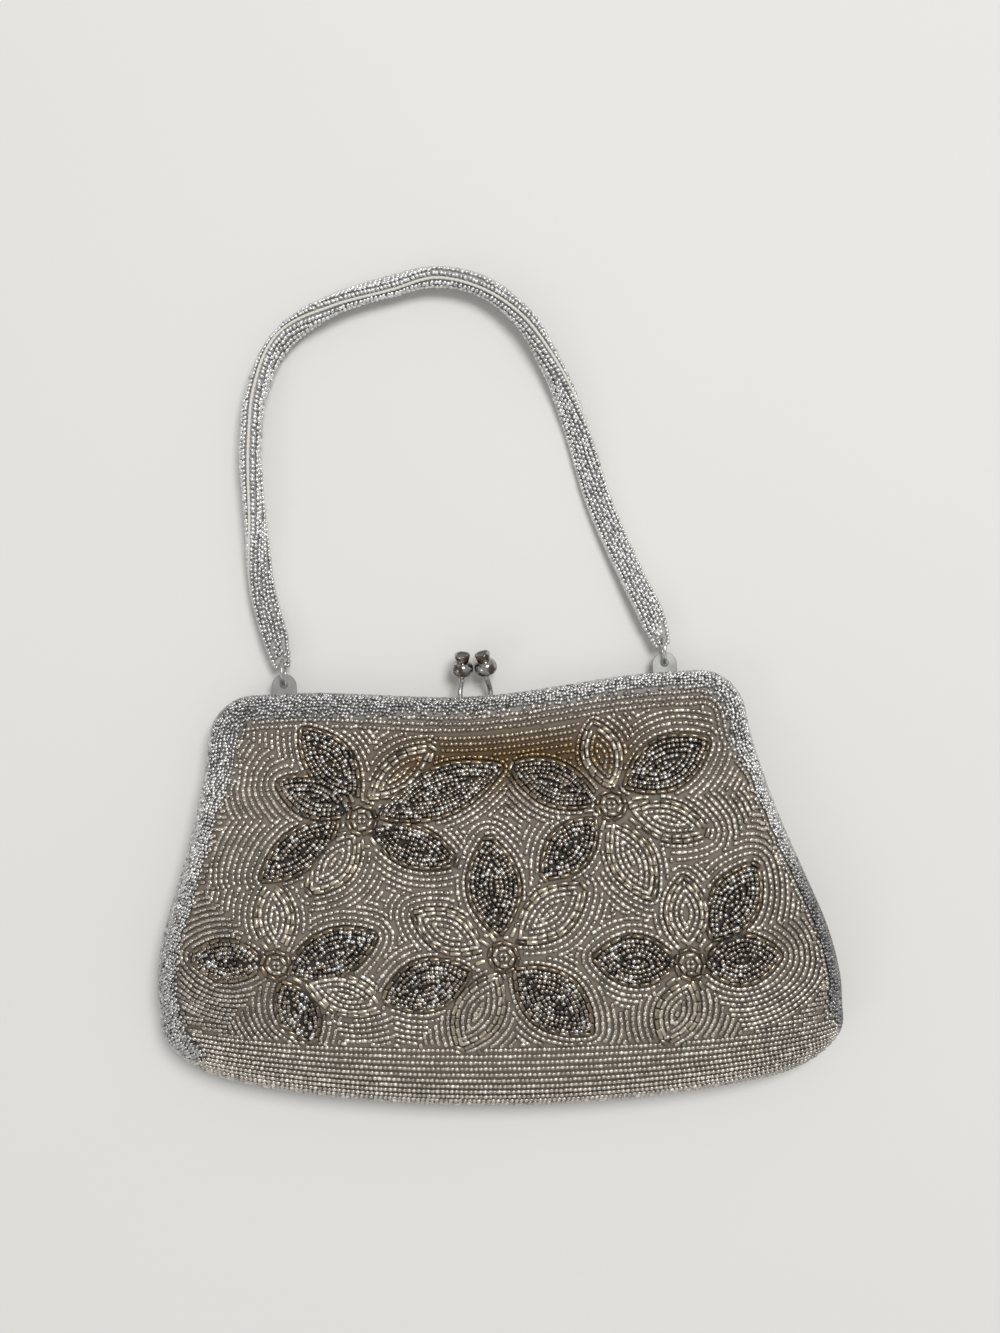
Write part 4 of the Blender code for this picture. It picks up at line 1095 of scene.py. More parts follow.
lay_centres()
lay_outlines()
lay_petals()
rim, border = ring_of(RIM_HEIGHT), ring_of(BORDER_HEIGHT)
straight_rows = (BOTTOM_STRAIGHT_ROW, MOUTH_STRAIGHT_ROW)
bottom_flat, mouth_flat = np.interp(straight_rows, row_samples, flat_samples)
mouth_end = ring_of(EDGE_REACH)[:, 1].max()
mouth_rows = np.arange(mouth_flat, mouth_end, ROW_PITCH)
ground_rows = np.arange(bottom_flat, mouth_end, ROW_PITCH)
fine_heights = np.arange(0.55, EDGE_REACH, FINE_PITCH)
edge_heights = np.arange(0.9, EDGE_REACH, ROW_PITCH)
lay_echoes(0, 1)
lay_rings("fine", fine_heights, FINE_SPACING, FINE_GAP, in_fine_zone)
lay_loose("fine", 90, FINE_LOOSE_GAP, 0.0)
lay_level_rows("level", SEED_SPACING, bottom_rows(), -BOTTOM_SPAN, BOTTOM_SPAN, rim)
lay_rings("edge", edge_heights, SEED_SPACING, EDGE_GAP, in_ring_zone)
lay_level_rows("level", SEED_SPACING, mouth_rows, *MOUTH_SPAN, border)
lay_echoes(1, ECHO_ROWS)
lay_level_rows("ground", DASH_SPACING, ground_rows, -LEVEL_SPAN, LEVEL_SPAN, border)
lay_loose("edge", 60, EDGE_GAP, 3.0)
lay_fillers()

SILVER = np.array((0.66, 0.655, 0.645))
CHAMPAGNE = np.array((0.56, 0.505, 0.44))
# Old golden tone of the hollow below the mouth, with painted shade in it
GOLD_AND_SHADE = np.array((0.25, 0.165, 0.062))
DARKEST, LIGHTEST = 0.05, 0.95
# Painted glints: the share of seed beads made brighter, and by how much
PAINTED_SEED_GLINT_SHARE, PAINTED_SEED_GLINT_LIFT = 0.12, 1.4
EDGE_CLOTH = np.array((0.30, 0.29, 0.275))
# Cloth of the hollow: browner, partly its own colour and partly painted shade
HOLLOW_GOLD_AND_SHADE_CLOTH = np.array((0.100, 0.060, 0.023))
DARK_PETAL_CLOTH = (0.055, 0.047, 0.040)
BUGLE_TONE = np.array((0.215, 0.170, 0.115))
PALE_BUGLE_TONE = np.array((0.40, 0.345, 0.265))
RAY_TONE = np.array((0.55, 0.49, 0.38))
CENTRE_TONE = np.array((0.5, 0.44, 0.34))
LIGHT_BUGLE_TONE = np.array((0.58, 0.52, 0.43))
CUT_TONE = np.array((0.27, 0.235, 0.195))
# Painted glints: the near-white tone and the share of dark cut beads that stand for their sparkle
PAINTED_CUT_GLINT_TONE = np.array((0.78, 0.76, 0.73))
PAINTED_CUT_GLINT_SHARE = 0.2
CUT_PROFILE = ((-0.5, 0.74), (-0.25, 1.0), (0.25, 1.0), (0.5, 0.74))


def gold_and_shade_share(x, y):
    """Where the hollow at the mouth is golden with painted shade: an oval patch with a soft edge."""
    return np.exp(-(((x - 10.0) / 43.0) ** 4) - ((y - 42.0) / 9.0) ** 2)[:, None]


def ground_tones(beads, silver_share, spread=0.22, hollow=1.0):
    """Champagne in the middle, cooler silver towards the edge, an old golden tone with painted shade
    in the hollow, painted shade at the lower right and painted glints on a random few beads.
    """
    # Golden tone and painted shade of the hollow below the mouth
    gold_and_shade = hollow * gold_and_shade_share(beads[:, 0], beads[:, 1])
    tone = CHAMPAGNE * (1 - silver_share[:, None]) + SILVER * silver_share[:, None]
    tone = tone * (1 - gold_and_shade) + GOLD_AND_SHADE * gold_and_shade
    # Painted shade: beads at the lower right are up to 22 percent darker.
    right_painted_shade = smoothstep((beads[:, 0:1] - 72.0) / 16.0) * smoothstep((20.0 - beads[:, 1:2]) / 30.0)
    light = (1 - 0.22 * right_painted_shade) * (1 + spread * rng.standard_normal((len(beads), 1)))
    # Painted glints: a random few beads are lifted in tone.
    light = np.where(rng.random((len(beads), 1)) < PAINTED_SEED_GLINT_SHARE, light * PAINTED_SEED_GLINT_LIFT, light)
    return np.clip(tone * light, DARKEST, LIGHTEST)


def cloth_tones(points):
    """Taupe, browner with painted shade in the hollow, greyer at the edges and nearly black under the
    dark petals.
    """
    flat = bead_flats(points)
    gold_and_shade = gold_and_shade_share(points[:, 0], points[:, 1])
    pale = (1 - smoothstep((nearest(points, edge_table[::2, 0]) - 6.0) / 7.0))[:, None]
    pale = pale * above_bottom(points[:, 1])[:, None]
    tone = np.array(CLOTH_COLOUR) * (1 - pale) + EDGE_CLOTH * pale
    tone = tone * (1 - gold_and_shade) + HOLLOW_GOLD_AND_SHADE_CLOTH * gold_and_shade
    tone[in_a_dark_petal(flat)] = DARK_PETAL_CLOTH
    return tone


front_points = np.zeros(len(front_cloth.data.vertices) * 3, np.float32)
front_cloth.data.vertices.foreach_get("co", front_points)
tint(front_cloth, "tone", cloth_tones(front_points.reshape(-1, 3) / MM))


seed_glass = bead_finish("Silver-lined seed glass", roughness=0.24, metallic=0.8, coat=1.0)
bugle_glass = bead_finish("Brass-brown bugle glass", roughness=0.25, metallic=0.8, coat=0.6)
cut_steel = bead_finish("Cut steel-grey glass", roughness=0.16, metallic=0.9, coat=0.8)


def silver_near_rim(beads):
    """1 at the rim and 0 a little past the reach of the fine beads."""
    reach = fine_reach(beads[:, 0], beads[:, 1])
    return 1 - smoothstep((nearest(beads[:, 0:3], edge_table[::2, 0]) - 0.7 * reach) / 5.0)


fine = bed.all_of("fine")
edge_beads = bed.all_of("edge")
level = bed.all_of("level")
ground = bed.all_of("ground")


def front_piece(name, beads, length, radius, colours, look, **shape):
    piece = make_beads(name, beads, length, radius, colours, look, **shape)
    ride_front(piece)


fine_tones = ground_tones(fine, np.ones(len(fine)), 0.32)
# Painted shade: the fine beads are darker at the lower sides, most on the right. They are also darker
# towards the middle of the mouth.
painted_shade_side = smoothstep((np.abs(fine[:, 0]) - 80.0) / 10.0) * smoothstep((20.0 - fine[:, 1]) / 30.0)
at_mouth = smoothstep((fine[:, 1] - 50.0) / 6.0) * smoothstep((30.0 - fine[:, 0]) / 20.0)
fine_tones *= (1 - np.where(fine[:, 0] > 0, 0.62, 0.22) * painted_shade_side - 0.25 * at_mouth)[:, None]
fine_shape = {"depth": 0.55, "loose": 0.2}
front_piece(
    "front_silver_edge_beads", fine, FINE_LENGTH, FINE_RADIUS, fine_tones, seed_glass, **fine_shape
)
edge_tones = ground_tones(edge_beads, 0.8 * silver_near_rim(edge_beads))
front_piece(
    "front_edge_beads", edge_beads, SEED_LENGTH, SEED_RADIUS, edge_tones, seed_glass, loose=0.1
)
level_tones = 1.1 * ground_tones(level, np.full(len(level), 0.1), 0.18)
level_tones = np.clip(level_tones, DARKEST, LIGHTEST)
front_piece("front_level_beads", level, SEED_LENGTH, SEED_RADIUS, level_tones, seed_glass)
upper = ground[:, 1] > 10.0
for name, share in (("front_ground_beads_upper", upper), ("front_ground_beads_lower", ~upper)):
    chosen = ground[share]
    x, y = chosen[:, 0:1], chosen[:, 1:2]
    tones = ground_tones(chosen, 0.6 * silver_near_rim(chosen))
    # Painted shade: ground beads darker towards the lower left.
    tones *= 1 - 0.2 * smoothstep((-30.0 - x) / 40.0) * smoothstep((30.0 - y) / 20.0)
    front_piece(name, chosen, DASH_LENGTH, DASH_RADIUS, tones, seed_glass, profile=DASH_PROFILE)


def varied(tone, count, spread):
    """One tone for many beads, each a little lighter or darker."""
    return np.clip(tone * (1 + spread * rng.standard_normal((count, 1))), 0.03, LIGHTEST)


def bugle_piece(name, kind, length, tone, spread, depth):
    """Front piece of all the bugles of a kind."""
    chosen = bed.all_of(kind)
    tones = varied(tone, len(chosen), spread)
    shape = {"profile": BUGLE_PROFILE, "depth": depth}
    front_piece(name, chosen, length, BUGLE_RADIUS, tones, bugle_glass, **shape)


bugle_piece("petal_outline_bugles", "bugle", BUGLE_LENGTH, BUGLE_TONE, 0.3, 0.5)
bugle_piece("pale_petal_outline_bugles", "pale_bugle", BUGLE_LENGTH, PALE_BUGLE_TONE, 0.35, 0.5)
bugle_piece("flower_ray_bugles", "ray", BUGLE_LENGTH, RAY_TONE, 0.25, 0.6)
bugle_piece("flower_centre_bugles", "centre", 2.3, CENTRE_TONE, 0.2, 0.5)
middle = bed.all_of("seed_centre")
middle_tones = varied(CHAMPAGNE, len(middle), 0.15)
front_piece("flower_centre_seeds", middle, SEED_LENGTH, 0.7, middle_tones, seed_glass, depth=0.45)
light = bed.all_of("light")
light_tones = ground_tones(light, np.zeros(len(light)))
dash_shape = {"profile": DASH_PROFILE}
front_piece(
    "light_petal_seeds", light, DASH_LENGTH, DASH_RADIUS, light_tones, seed_glass, **dash_shape
)
bugle_piece("light_petal_bugles", "light_bugle", 2.7, LIGHT_BUGLE_TONE, 0.18, 0.65)
cut = bed.all_of("cut")
cut_tones = varied(CUT_TONE, len(cut), 0.4)
# Painted glints: a fifth of the cut beads are near white.
painted_cut_glint = rng.random(len(cut)) < PAINTED_CUT_GLINT_SHARE
cut_tones[painted_cut_glint] = PAINTED_CUT_GLINT_TONE * rng.uniform(0.6, 1.15, (painted_cut_glint.sum(), 1))
cut_shape = {"profile": CUT_PROFILE, "depth": 0.25, "loose": 0.14}
front_piece("dark_petal_beads", cut, 1.3, 0.78, cut_tones, cut_steel, **cut_shape)


# Beaded back
# The back is plain: rows of the same silver-lined seeds round the edge, then level rows across the
# flat, where they rest on whatever the bag lies on. Sewn to the front below the hinges.

BACK_SPLIT_ROWS = 5
BACK_WALL_REACH = 30.0
BACK_SPAN = 106.0
BACK_SAMPLES = 300
BACK_BEAD_DEPTH = 0.76
BACK_EDGE_GAP = 1.25
BACK_GAP = 1.3
BACK_STAGGER = 0.7

back_table = wall_table(back_height, BACK_WALL_REACH)


def back_place(p, row):
    """Point of the back for a place across and a row; p runs backwards, to turn the normal down."""
    p = np.clip(-p, -half_width(row), half_width(row))
    return lean(np.stack([p, row + row_shift(p, row), back_height(p, row)], axis=-1))


def turned_down(place):
    """The same surface with its stations run backwards, so that its normal points outwards."""

    def turned(u, v):
        return place(-u, v)

    return turned


def rows_of_back(beads):
    """Places across and rows of the back's beads."""
    plan = flat_of(beads[:, 0:2])
    return np.stack([plan[:, 0], np.interp(plan[:, 1], flat_samples, row_samples)], axis=1)


back_bed = Bed()
back_wall = turned_down(place_in(back_table))
stations = np.arange(len(back_table) + 1.0)
for step in range(BACK_SPLIT_ROWS):
    height_up = np.full(len(stations), (step + 0.5) * ROW_PITCH)
    back_bed.lay("edge", strung(back_wall, stations, height_up, SEED_SPACING), BACK_EDGE_GAP)
every_other = np.arange(0.0, len(back_table), 2.0)
last_ring = back_wall(every_other, np.full(len(every_other), BACK_SPLIT_ROWS * ROW_PITCH))
back_border = rows_of_back(last_ring)
back_rows = np.arange(back_border[:, 1].min(), back_border[:, 1].max(), ROW_PITCH)
across = np.linspace(-BACK_SPAN, BACK_SPAN, BACK_SAMPLES)
for number, row in enumerate(back_rows):
    level_row, offset = np.full(BACK_SAMPLES, row), BACK_STAGGER * (number % 2)
    beads = strung(back_place, across, level_row, SEED_SPACING, offset)
    back_bed.lay("flat", beads[inside(rows_of_back(beads), back_border)], BACK_GAP)


def back_piece(name, beads, silver_share):
    """Seed beads of the back, which has none of the hollow's golden tone and painted shade."""
    tones = ground_tones(beads, np.full(len(beads), silver_share), hollow=0.0)
    piece = make_beads(
        name, beads, SEED_LENGTH, SEED_RADIUS, tones, seed_glass, depth=BACK_BEAD_DEPTH
    )
    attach(piece, "back_half")


back_piece("back_edge_beads", back_bed.all_of("edge"), 0.9)
back_flat = back_bed.all_of("flat")
back_piece("back_ground_beads_upper", back_flat[back_flat[:, 1] > 0.0], 0.25)
back_piece("back_ground_beads_lower", back_flat[back_flat[:, 1] <= 0.0], 0.25)


# Linings
# Ivory rayon satin, cut as two pockets and glued in beside the frame's channels. It is seen when
# the bag is open, and it lies loosely, with shallow vertical folds.

LINING_DEPTH = 2.15
LINING_THICKNESS = 0.35
LINING_EDGE_INSET = 2.6
LINING_FRAME_INSET = 8.2
LINING_SIDE_EXPONENT = 34.0
LINING_BOTTOM_EXPONENT = 9.0
LINING_COLUMNS = 91
LINING_ROWS = 61
FOLD_DEPTH = 0.22
FOLD_WAVE = 3.1
FOLD_WANDER = (1.3, 19.0)
FOLD_FADE = 12.0
DRAWN_START = 8.0
DRAWN_LENGTH = 7.0
LEAST_DEPTH = 0.2
IVORY = (0.74, 0.69, 0.59)
AGED_IVORY = (0.62, 0.54, 0.41)


def satin_finish():
    """Satin: fine threads down the cloth, a soft sheen and faint age stains."""
    finish = Finish("Ivory satin", Sheen_Weight=0.35, Sheen_Roughness=0.4)
    thread = finish.threads((5200.0, 900.0, 900.0), 2.0)
    stain = finish.noise(35.0, 5.0)
    return finish.surface(
        Base_Color=finish.mix(stain.between(0.5, 0.85) * 0.6, IVORY, AGED_IVORY),
        Roughness=thread * 0.16 + 0.3,
        Normal=finish.bump(thread, 0.00006, 0.6),
    )


satin = satin_finish()


def lining_layer(height, side, extra):
    """Pocket inside the face: drawn in at the frame, steep at the split, softly folded."""
    u = np.sin(np.linspace(-1, 1, LINING_COLUMNS) * np.pi / 2)[None, :]
    v = (1 - np.cos(np.linspace(0, 1, LINING_ROWS) * np.pi)) / 2
    top = TOP_Y - LINING_FRAME_INSET - extra
    low = BOTTOM_Y + LINING_EDGE_INSET + extra
    row = (top + (low - top) * v)[:, None]
    drawn = smoothstep((row - HINGE_Y + DRAWN_START) / DRAWN_LENGTH)
    drawn_in = (LINING_FRAME_INSET - LINING_EDGE_INSET) * drawn
    width = half_width(row) - extra - LINING_EDGE_INSET - drawn_in
    x = width * u
    wander = FOLD_WANDER[0] * np.sin(row / FOLD_WANDER[1])
    wave = FOLD_DEPTH * np.sin(x / FOLD_WAVE + wander)
    fold = wave * smoothstep((width - np.abs(x)) / FOLD_FADE)
    floor = SPLIT_Z + side * (SPLIT_GAP + SPLIT_CLEARANCE)
    deep = side * (height(x, row) - floor) - LINING_DEPTH - extra + fold
    deep = np.maximum(deep, LEAST_DEPTH - LEAST_DEPTH * (extra > 0))
    rise = edge_rise(width * (1 - np.abs(u)), width, LINING_SIDE_EXPONENT)
    rise = rise * edge_rise(top - row, HALF_WIDTH, LINING_SIDE_EXPONENT)
    rise = rise * edge_rise(row - low, BOTTOM_REACH, LINING_BOTTOM_EXPONENT)
    return np.stack([x, row + row_shift(x, row), floor + side * deep * rise], axis=-1)


def make_lining(name, height, side, *nodes):
    """Closed satin sheet of one half: the front one is baked in place like its cloth, and the back
    one goes with the back half.
    """
    outer = lining_layer(height, side, 0.0)
    inner = lining_layer(height, side, LINING_THICKNESS)
    piece = make_shell(name, outer, inner, side, satin)
    if side > 0:
        ride_front(piece)
    else:
        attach(piece, "back_half")
    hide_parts(*nodes)


make_lining("front_satin_lining", front_height, 1, "front_lining_upper", "front_lining_lower")
make_lining("back_satin_lining", back_height, -1, "back_lining")


# Kiss-lock knobs
# Two nickel-plated balls, each with a button on top, on bent wires from the two frame channels.
# They are turned brass, polished and plated, and snap past each other to close the bag.

KNOB_X = 3.75
KNOB_Y = 70.9
KNOB_PROFILE_STEPS = 40
KNOB_END_RADIUS = 0.35
BALL_POWERS = (0.9, 0.62)
BALL_RADIUS = 3.6
BALL_HALF_HEIGHT = 2.6
BUTTON_PROFILE = np.array(
    [(2.1, 0.6), (2.2, 1.98), (2.4, 2.05), (2.9, 2.16), (3.5, 2.32), (4.1, 2.44), (4.5, 2.47)]
    + [(4.75, 2.41), (4.9, 2.27), (4.94, 2.05), (4.88, 1.7), (4.84, 1.2), (4.82, 0.7), (4.82, 0.2)]
)
BUTTON_TOP_ROW = 10
KNOB_TILT = 23.0
KNOB_LEAN = {"front": -5.0, "back": 12.0}
WIRE_RADIUS = 0.85
WIRE_FOOT = (4.8, 58.4, 2.4)
WIRE_EDGE_Y = 62.85
WIRE_TOP_Y = 68.2
TURNED_SIDES = 48
WIRE_SIDES = 16
WIRE_STEPS = 40
WIRE_TOP_OVERLAP = 0.8
NICKEL = (0.47, 0.45, 0.43)
WEAR_AND_REFLECTION_BROWN = (0.115, 0.08, 0.058)
# Painted reflection: the near-black colour of the button tops, for the dark room they mirror
NICKEL_TOP_PAINTED_REFLECTION = (0.10, 0.092, 0.082)
WIRE_COLOUR = (0.50, 0.50, 0.48)


def nickel_finish():
    """Polished nickel plate over brass: faint polishing haze, and warm brown patches that are partly
    worn plate and partly painted dark reflection.
    """
    finish = Finish("Polished nickel plate", Metallic=1.0)
    haze = finish.noise(900.0, 4.0)
    # Patches of worn plate that also stand for painted dark reflection
    wear = finish.noise(420.0, 2.0).between(0.44, 0.6)
    return finish.surface(
        Base_Color=finish.mix(wear * 0.9, NICKEL, WEAR_AND_REFLECTION_BROWN),
        Roughness=haze * 0.08 + wear * 0.08 + 0.03,
        Normal=finish.bump(haze, 0.00001, 0.25),
    )


nickel = nickel_finish()
# Painted reflection: a dark finish for the button tops
painted_reflection_nickel = steel_finish("Nickel top with painted dark reflection", NICKEL_TOP_PAINTED_REFLECTION, roughness=0.3)
wire_steel = steel_finish("Knob wire steel", WIRE_COLOUR, roughness=0.24)


def tilted(points, tilt, lean_way):
    """Points turned about the origin: first up from Y towards Z, then round Z, in degrees."""
    a, b = np.radians(tilt), np.radians(lean_way)
    x, y, z = points[..., 0], points[..., 1], points[..., 2]
    y, z = y * np.cos(a) - z * np.sin(a), y * np.sin(a) + z * np.cos(a)
    return np.stack([x * np.cos(b) - y * np.sin(b), x * np.sin(b) + y * np.cos(b), z], axis=-1)


def put_tube(name, rings, look, flipped=False):
    """Mesh of rings of points set one after another, with flat ends."""
    quads, ends = tube_faces(*rings.shape[:2], flipped)
    return put_mesh(name, rings.reshape(-1, 3), quads.tolist() + ends.tolist(), look)


def rings_round(path, radius, first, second, sides):
    """Round sections of a path, in the plane of two directions at each of its points."""
    turn = full_turn(sides)
    cos, sin = np.cos(turn)[:, None], np.sin(turn)[:, None]
    return path[:, None, :] + radius * (cos * first[:, None, :] + sin * second[:, None, :])


def turned_piece(name, profile, centre, look, lean_way):
    """Profile of pairs (place along Y, radius) turned round Y and tilted, with flat ends."""
    turn = full_turn(TURNED_SIDES)
    along, radius = profile[:, 0, None], profile[:, 1, None]
    rings = np.stack([radius * np.cos(turn), along + 0 * turn, radius * np.sin(turn)], axis=-1)
    rings = tilted(rings, KNOB_TILT, lean_way) + np.array(centre)
    return put_tube(name, rings, look, flipped=True)


def swept_piece(name, path, radius, look):
    """Round wire along a path without sharp turns, with flat ends."""
    along = unit(np.gradient(path, axis=0))
    first = unit(np.cross(along, np.broadcast_to(np.array([0.37, 0.21, 0.9]), along.shape)))
    rings = rings_round(path, radius, first, np.cross(along, first), WIRE_SIDES)
    return put_tube(name, rings, look)


def make_knob(half, side, way, body):
    """Ball, button and wire of one half. The ball's section is powers of sine and cosine."""
    x = side * KNOB_X
    turn = np.linspace(-1.0, 1.0, KNOB_PROFILE_STEPS) * np.pi / 2
    height = BALL_HALF_HEIGHT * np.sign(turn) * np.abs(np.sin(turn)) ** BALL_POWERS[0]
    ball = np.stack([height, BALL_RADIUS * np.abs(np.cos(turn)) ** BALL_POWERS[1]], axis=1)
    ball[[0, -1], 1] = KNOB_END_RADIUS
    share = np.linspace(0.0, 1.0, WIRE_STEPS)
    foot = np.array([side * WIRE_FOOT[0], WIRE_FOOT[1], SPLIT_Z + way * WIRE_FOOT[2]])
    edge = np.array([foot[0], WIRE_EDGE_Y, foot[2]])
    top = np.array([x, WIRE_TOP_Y + WIRE_TOP_OVERLAP, SPLIT_Z])
    eased = smoothstep(share)
    bend = edge + (top - edge) * np.stack([eased, share, eased], axis=1)
    path = np.concatenate([foot + (edge - foot) * share[:-1:8, None], bend])
    centre, lean_way = (x, KNOB_Y, SPLIT_Z), KNOB_LEAN[half]
    globe = turned_piece(f"{half}_knob_globe", ball, centre, nickel, lean_way)
    button = turned_piece(f"{half}_knob_button", BUTTON_PROFILE, centre, nickel, lean_way)
    wire = swept_piece(f"{half}_knob_wire", path, WIRE_RADIUS, wire_steel)
    # Painted reflection: the top faces of each button take the dark nickel.
    button.data.materials.append(painted_reflection_nickel)
    top_faces = np.zeros(len(button.data.polygons), np.int32)
    top_faces[(BUTTON_TOP_ROW * TURNED_SIDES):-2] = 1
    top_faces[-1] = 1
    button.data.polygons.foreach_set("material_index", top_faces)
    nodes = (f"{half}_knob_ball", f"{half}_knob_cap", f"{half}_knob_stem")
    for piece, node in zip((globe, button, wire), nodes):
        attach(piece, body)
        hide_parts(node)


make_knob("front", -1, 1, "front_half")
make_knob("back", 1, -1, "back_half")


# Handle tabs
# Stamped steel plates rooted in the back channel, each with a rounded end and a hole for its ring.
# The edges are broken and the faces have a satin finish.

TAB_X = 60.5
TAB_HOLE_Y = 69.0
TAB_Z = 5.2
TAB_HALF_WIDTH = 3.9
TAB_HALF_WALL = 0.4
TAB_FOOT_Y = 59.5
TAB_HOLE_RADIUS = 1.2
TAB_EDGE = 0.12
TAB_TOP_MARGIN = 3.4
TAB_SIDES = 160
TAB_COLOUR = (0.34, 0.34, 0.325)

tab_steel = steel_finish("Satin tab steel", TAB_COLOUR, roughness=0.45)


def tab_reach(turn):
    """Distance from the hole to the plate's edge: a half circle above, straight sides below."""
    x, y = np.cos(turn), np.sin(turn)
    above = TAB_HOLE_Y + TAB_TOP_MARGIN - TAB_HALF_WIDTH
    offset = TAB_HOLE_Y - above
    circle = -offset * y + np.sqrt((offset * y) ** 2 + TAB_HALF_WIDTH**2 - offset**2)
    side = TAB_HALF_WIDTH / np.maximum(np.abs(x), 1e-6)
    foot = (TAB_HOLE_Y - TAB_FOOT_Y) / np.maximum(-y, 1e-6)
    return np.where(offset + circle * y >= 0, circle, np.minimum(side, foot))


def make_tab(name, side):
    """Loops from the lower face's edge round the rim and the upper face to the hole, and back."""
    turn = full_turn(TAB_SIDES)
    reach, hole = tab_reach(turn), np.full(TAB_SIDES, TAB_HOLE_RADIUS)
    wall, edge = TAB_HALF_WALL, TAB_EDGE
    loops = (
        (reach - edge, -wall), (reach, edge - wall), (reach, wall - edge), (reach - edge, wall),
        (hole + edge, wall), (hole, wall - edge), (hole, edge - wall), (hole + edge, -wall),
    )
    radius = np.array([loop[0] for loop in loops])
    z = TAB_Z + np.array([loop[1] for loop in loops])[:, None] + 0 * turn
    x, y = side * TAB_X + radius * np.cos(turn), TAB_HOLE_Y + radius * np.sin(turn)
    points = np.stack([x, y, z], axis=-1)
    index = np.arange(points.shape[0] * points.shape[1]).reshape(points.shape[:2])
    beside, after = np.roll(index, -1, axis=0), np.roll(index, -1, axis=1)
    both = np.roll(beside, -1, axis=1)
    quads = np.stack([index, after, both, beside], axis=-1).reshape(-1, 4)
    piece = put_mesh(f"{name}_plate", points.reshape(-1, 3), quads.tolist(), tab_steel, smooth=False)
    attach(piece, "back_half")
    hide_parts(name)


make_tab("tab_left", -1)
make_tab("tab_right", 1)


# Jump rings
# Round steel wire bent to a ring and closed end to end, with a fine cut where the ends meet. Each
# stands across a tab through its hole, and carries an end of the strap.

RING_RADIUS = 3.9
RING_WIRE = 0.5
RING_CUT = 0.03
RING_CUT_TURN = 2.6
RING_STEPS = 72
RING_COLOUR = (0.68, 0.67, 0.65)

ring_wire_steel = steel_finish("Bright ring steel", RING_COLOUR, roughness=0.22)


def ring_path_of(side):
    """Circle in the plane x = place of the tab, from one side of the cut to the other."""
    half_cut = RING_CUT / 2
    turn = RING_CUT_TURN + np.linspace(half_cut, 2 * np.pi - half_cut, RING_STEPS)
    y = TAB_HOLE_Y + RING_RADIUS - RING_RADIUS * np.cos(turn)
    z = TAB_Z + RING_RADIUS * np.sin(turn)
    return np.stack([np.full(RING_STEPS, side * TAB_X), y, z], axis=1)


def make_ring(name, side, body):
    """Round wire along the ring's circle, with its flat ends at the cut."""
    path = ring_path_of(side)
    outward = (path - np.array([side * TAB_X, TAB_HOLE_Y + RING_RADIUS, TAB_Z])) / RING_RADIUS
    across = np.broadcast_to(np.array([1.0, 0.0, 0.0]), path.shape)
    rings = rings_round(path, RING_WIRE, outward, across, WIRE_SIDES)
    piece = put_tube(f"{name}_wire", rings, ring_wire_steel)
    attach(piece, body)
    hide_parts(name)


make_ring("ring_left", -1, "left_ring")
make_ring("ring_right", 1, "right_ring")


# Strap
# A flat tube of seed-beaded cloth, fourteen rows round, with a twisted cord sewn down each edge.
# It lies flat by the tabs and stands on edge round the crown, and a ring passes through each end.

STRAP_WIDTH = 8.8
STRAP_THICKNESS = 4.4
STRAP_TIP_WIDTH = 6.2
STRAP_TIP_THICKNESS = 1.9
STRAP_TIP_LENGTH = 12.0
STRAP_DROP = 34.0
STRAP_REACH = 128.5
STRAP_SLOTS = 16
STRAP_ROUNDING = (0.9, 2.6)
SEAM_CROWDING = 0.18
SEAM_RADIUS = 0.5
SEAM_SKIP = 14.0
SEAM_INSET = 0.62
SEAM_TWIST = 3.2
SEAM_LOBES = (0.74, 0.30)
SEAM_SIDES = 10
SEAM_STEPS = 1500
STRAP_STATIONS = 600
STRAP_SAMPLES = 4000
SECTION_POWER = 0.8
SECTION_SAMPLES = 721
CORE_DEPTH = 1.15
CORE_STEPS = 300
CORE_SIDES = 24
SLANTED_SLOTS = {1: 55.0, 15: -55.0, 7: -55.0, 9: 55.0}
STRAP_BEAD_LENGTH = 1.36
STRAP_BEAD_RADIUS = 0.70
STRAP_SPACING = 1.5
SLANTED_SPACING = 1.3
STRAP_BEAD_SINK = 0.72
STRAP_BEAD_GAP = 1.12
RING_CLEARANCE = 1.42
STRAP_TONE = np.array((0.94, 0.94, 0.93))
STRAP_TABLE = np.array(
    [(-1.000, 0.0389, 0.00), (-1.032, 0.115, 0.03), (-1.086, 0.225, 0.12), (-1.099, 0.410, 0.34)]
    + [(-1.101, 0.608, 0.48), (-1.055, 0.729, 0.45), (-0.914, 0.849, 0.35), (-0.641, 0.928, 0.59)]
    + [(-0.322, 0.969, 0.68), (-0.083, 0.985, 0.60), (0.149, 0.958, 0.63), (0.349, 0.880, 0.53)]
    + [(0.489, 0.761, 0.36), (0.603, 0.610, 0.16), (0.709, 0.410, 0.00), (0.862, 0.215, -0.09)]
    + [(0.950, 0.115, -0.05), (1.000, 0.0389, 0.00)]
)


def powered(values):
    """Size to the section's power, with the sign kept."""
    return np.sign(values) * np.abs(values) ** SECTION_POWER


def strap_section(share):
    """Rounded flat section for a share of its length: powers of cosine and sine of an angle."""
    angle = np.linspace(0, 2 * np.pi, SECTION_SAMPLES)
    outline = [powered(np.cos(angle)) * STRAP_WIDTH, powered(np.sin(angle)) * STRAP_THICKNESS]
    length = run_length(np.stack(outline, axis=1))
    angle = np.interp(np.asarray(share) % 1.0, length / length[-1], angle)
    return powered(np.cos(angle)), powered(np.sin(angle))


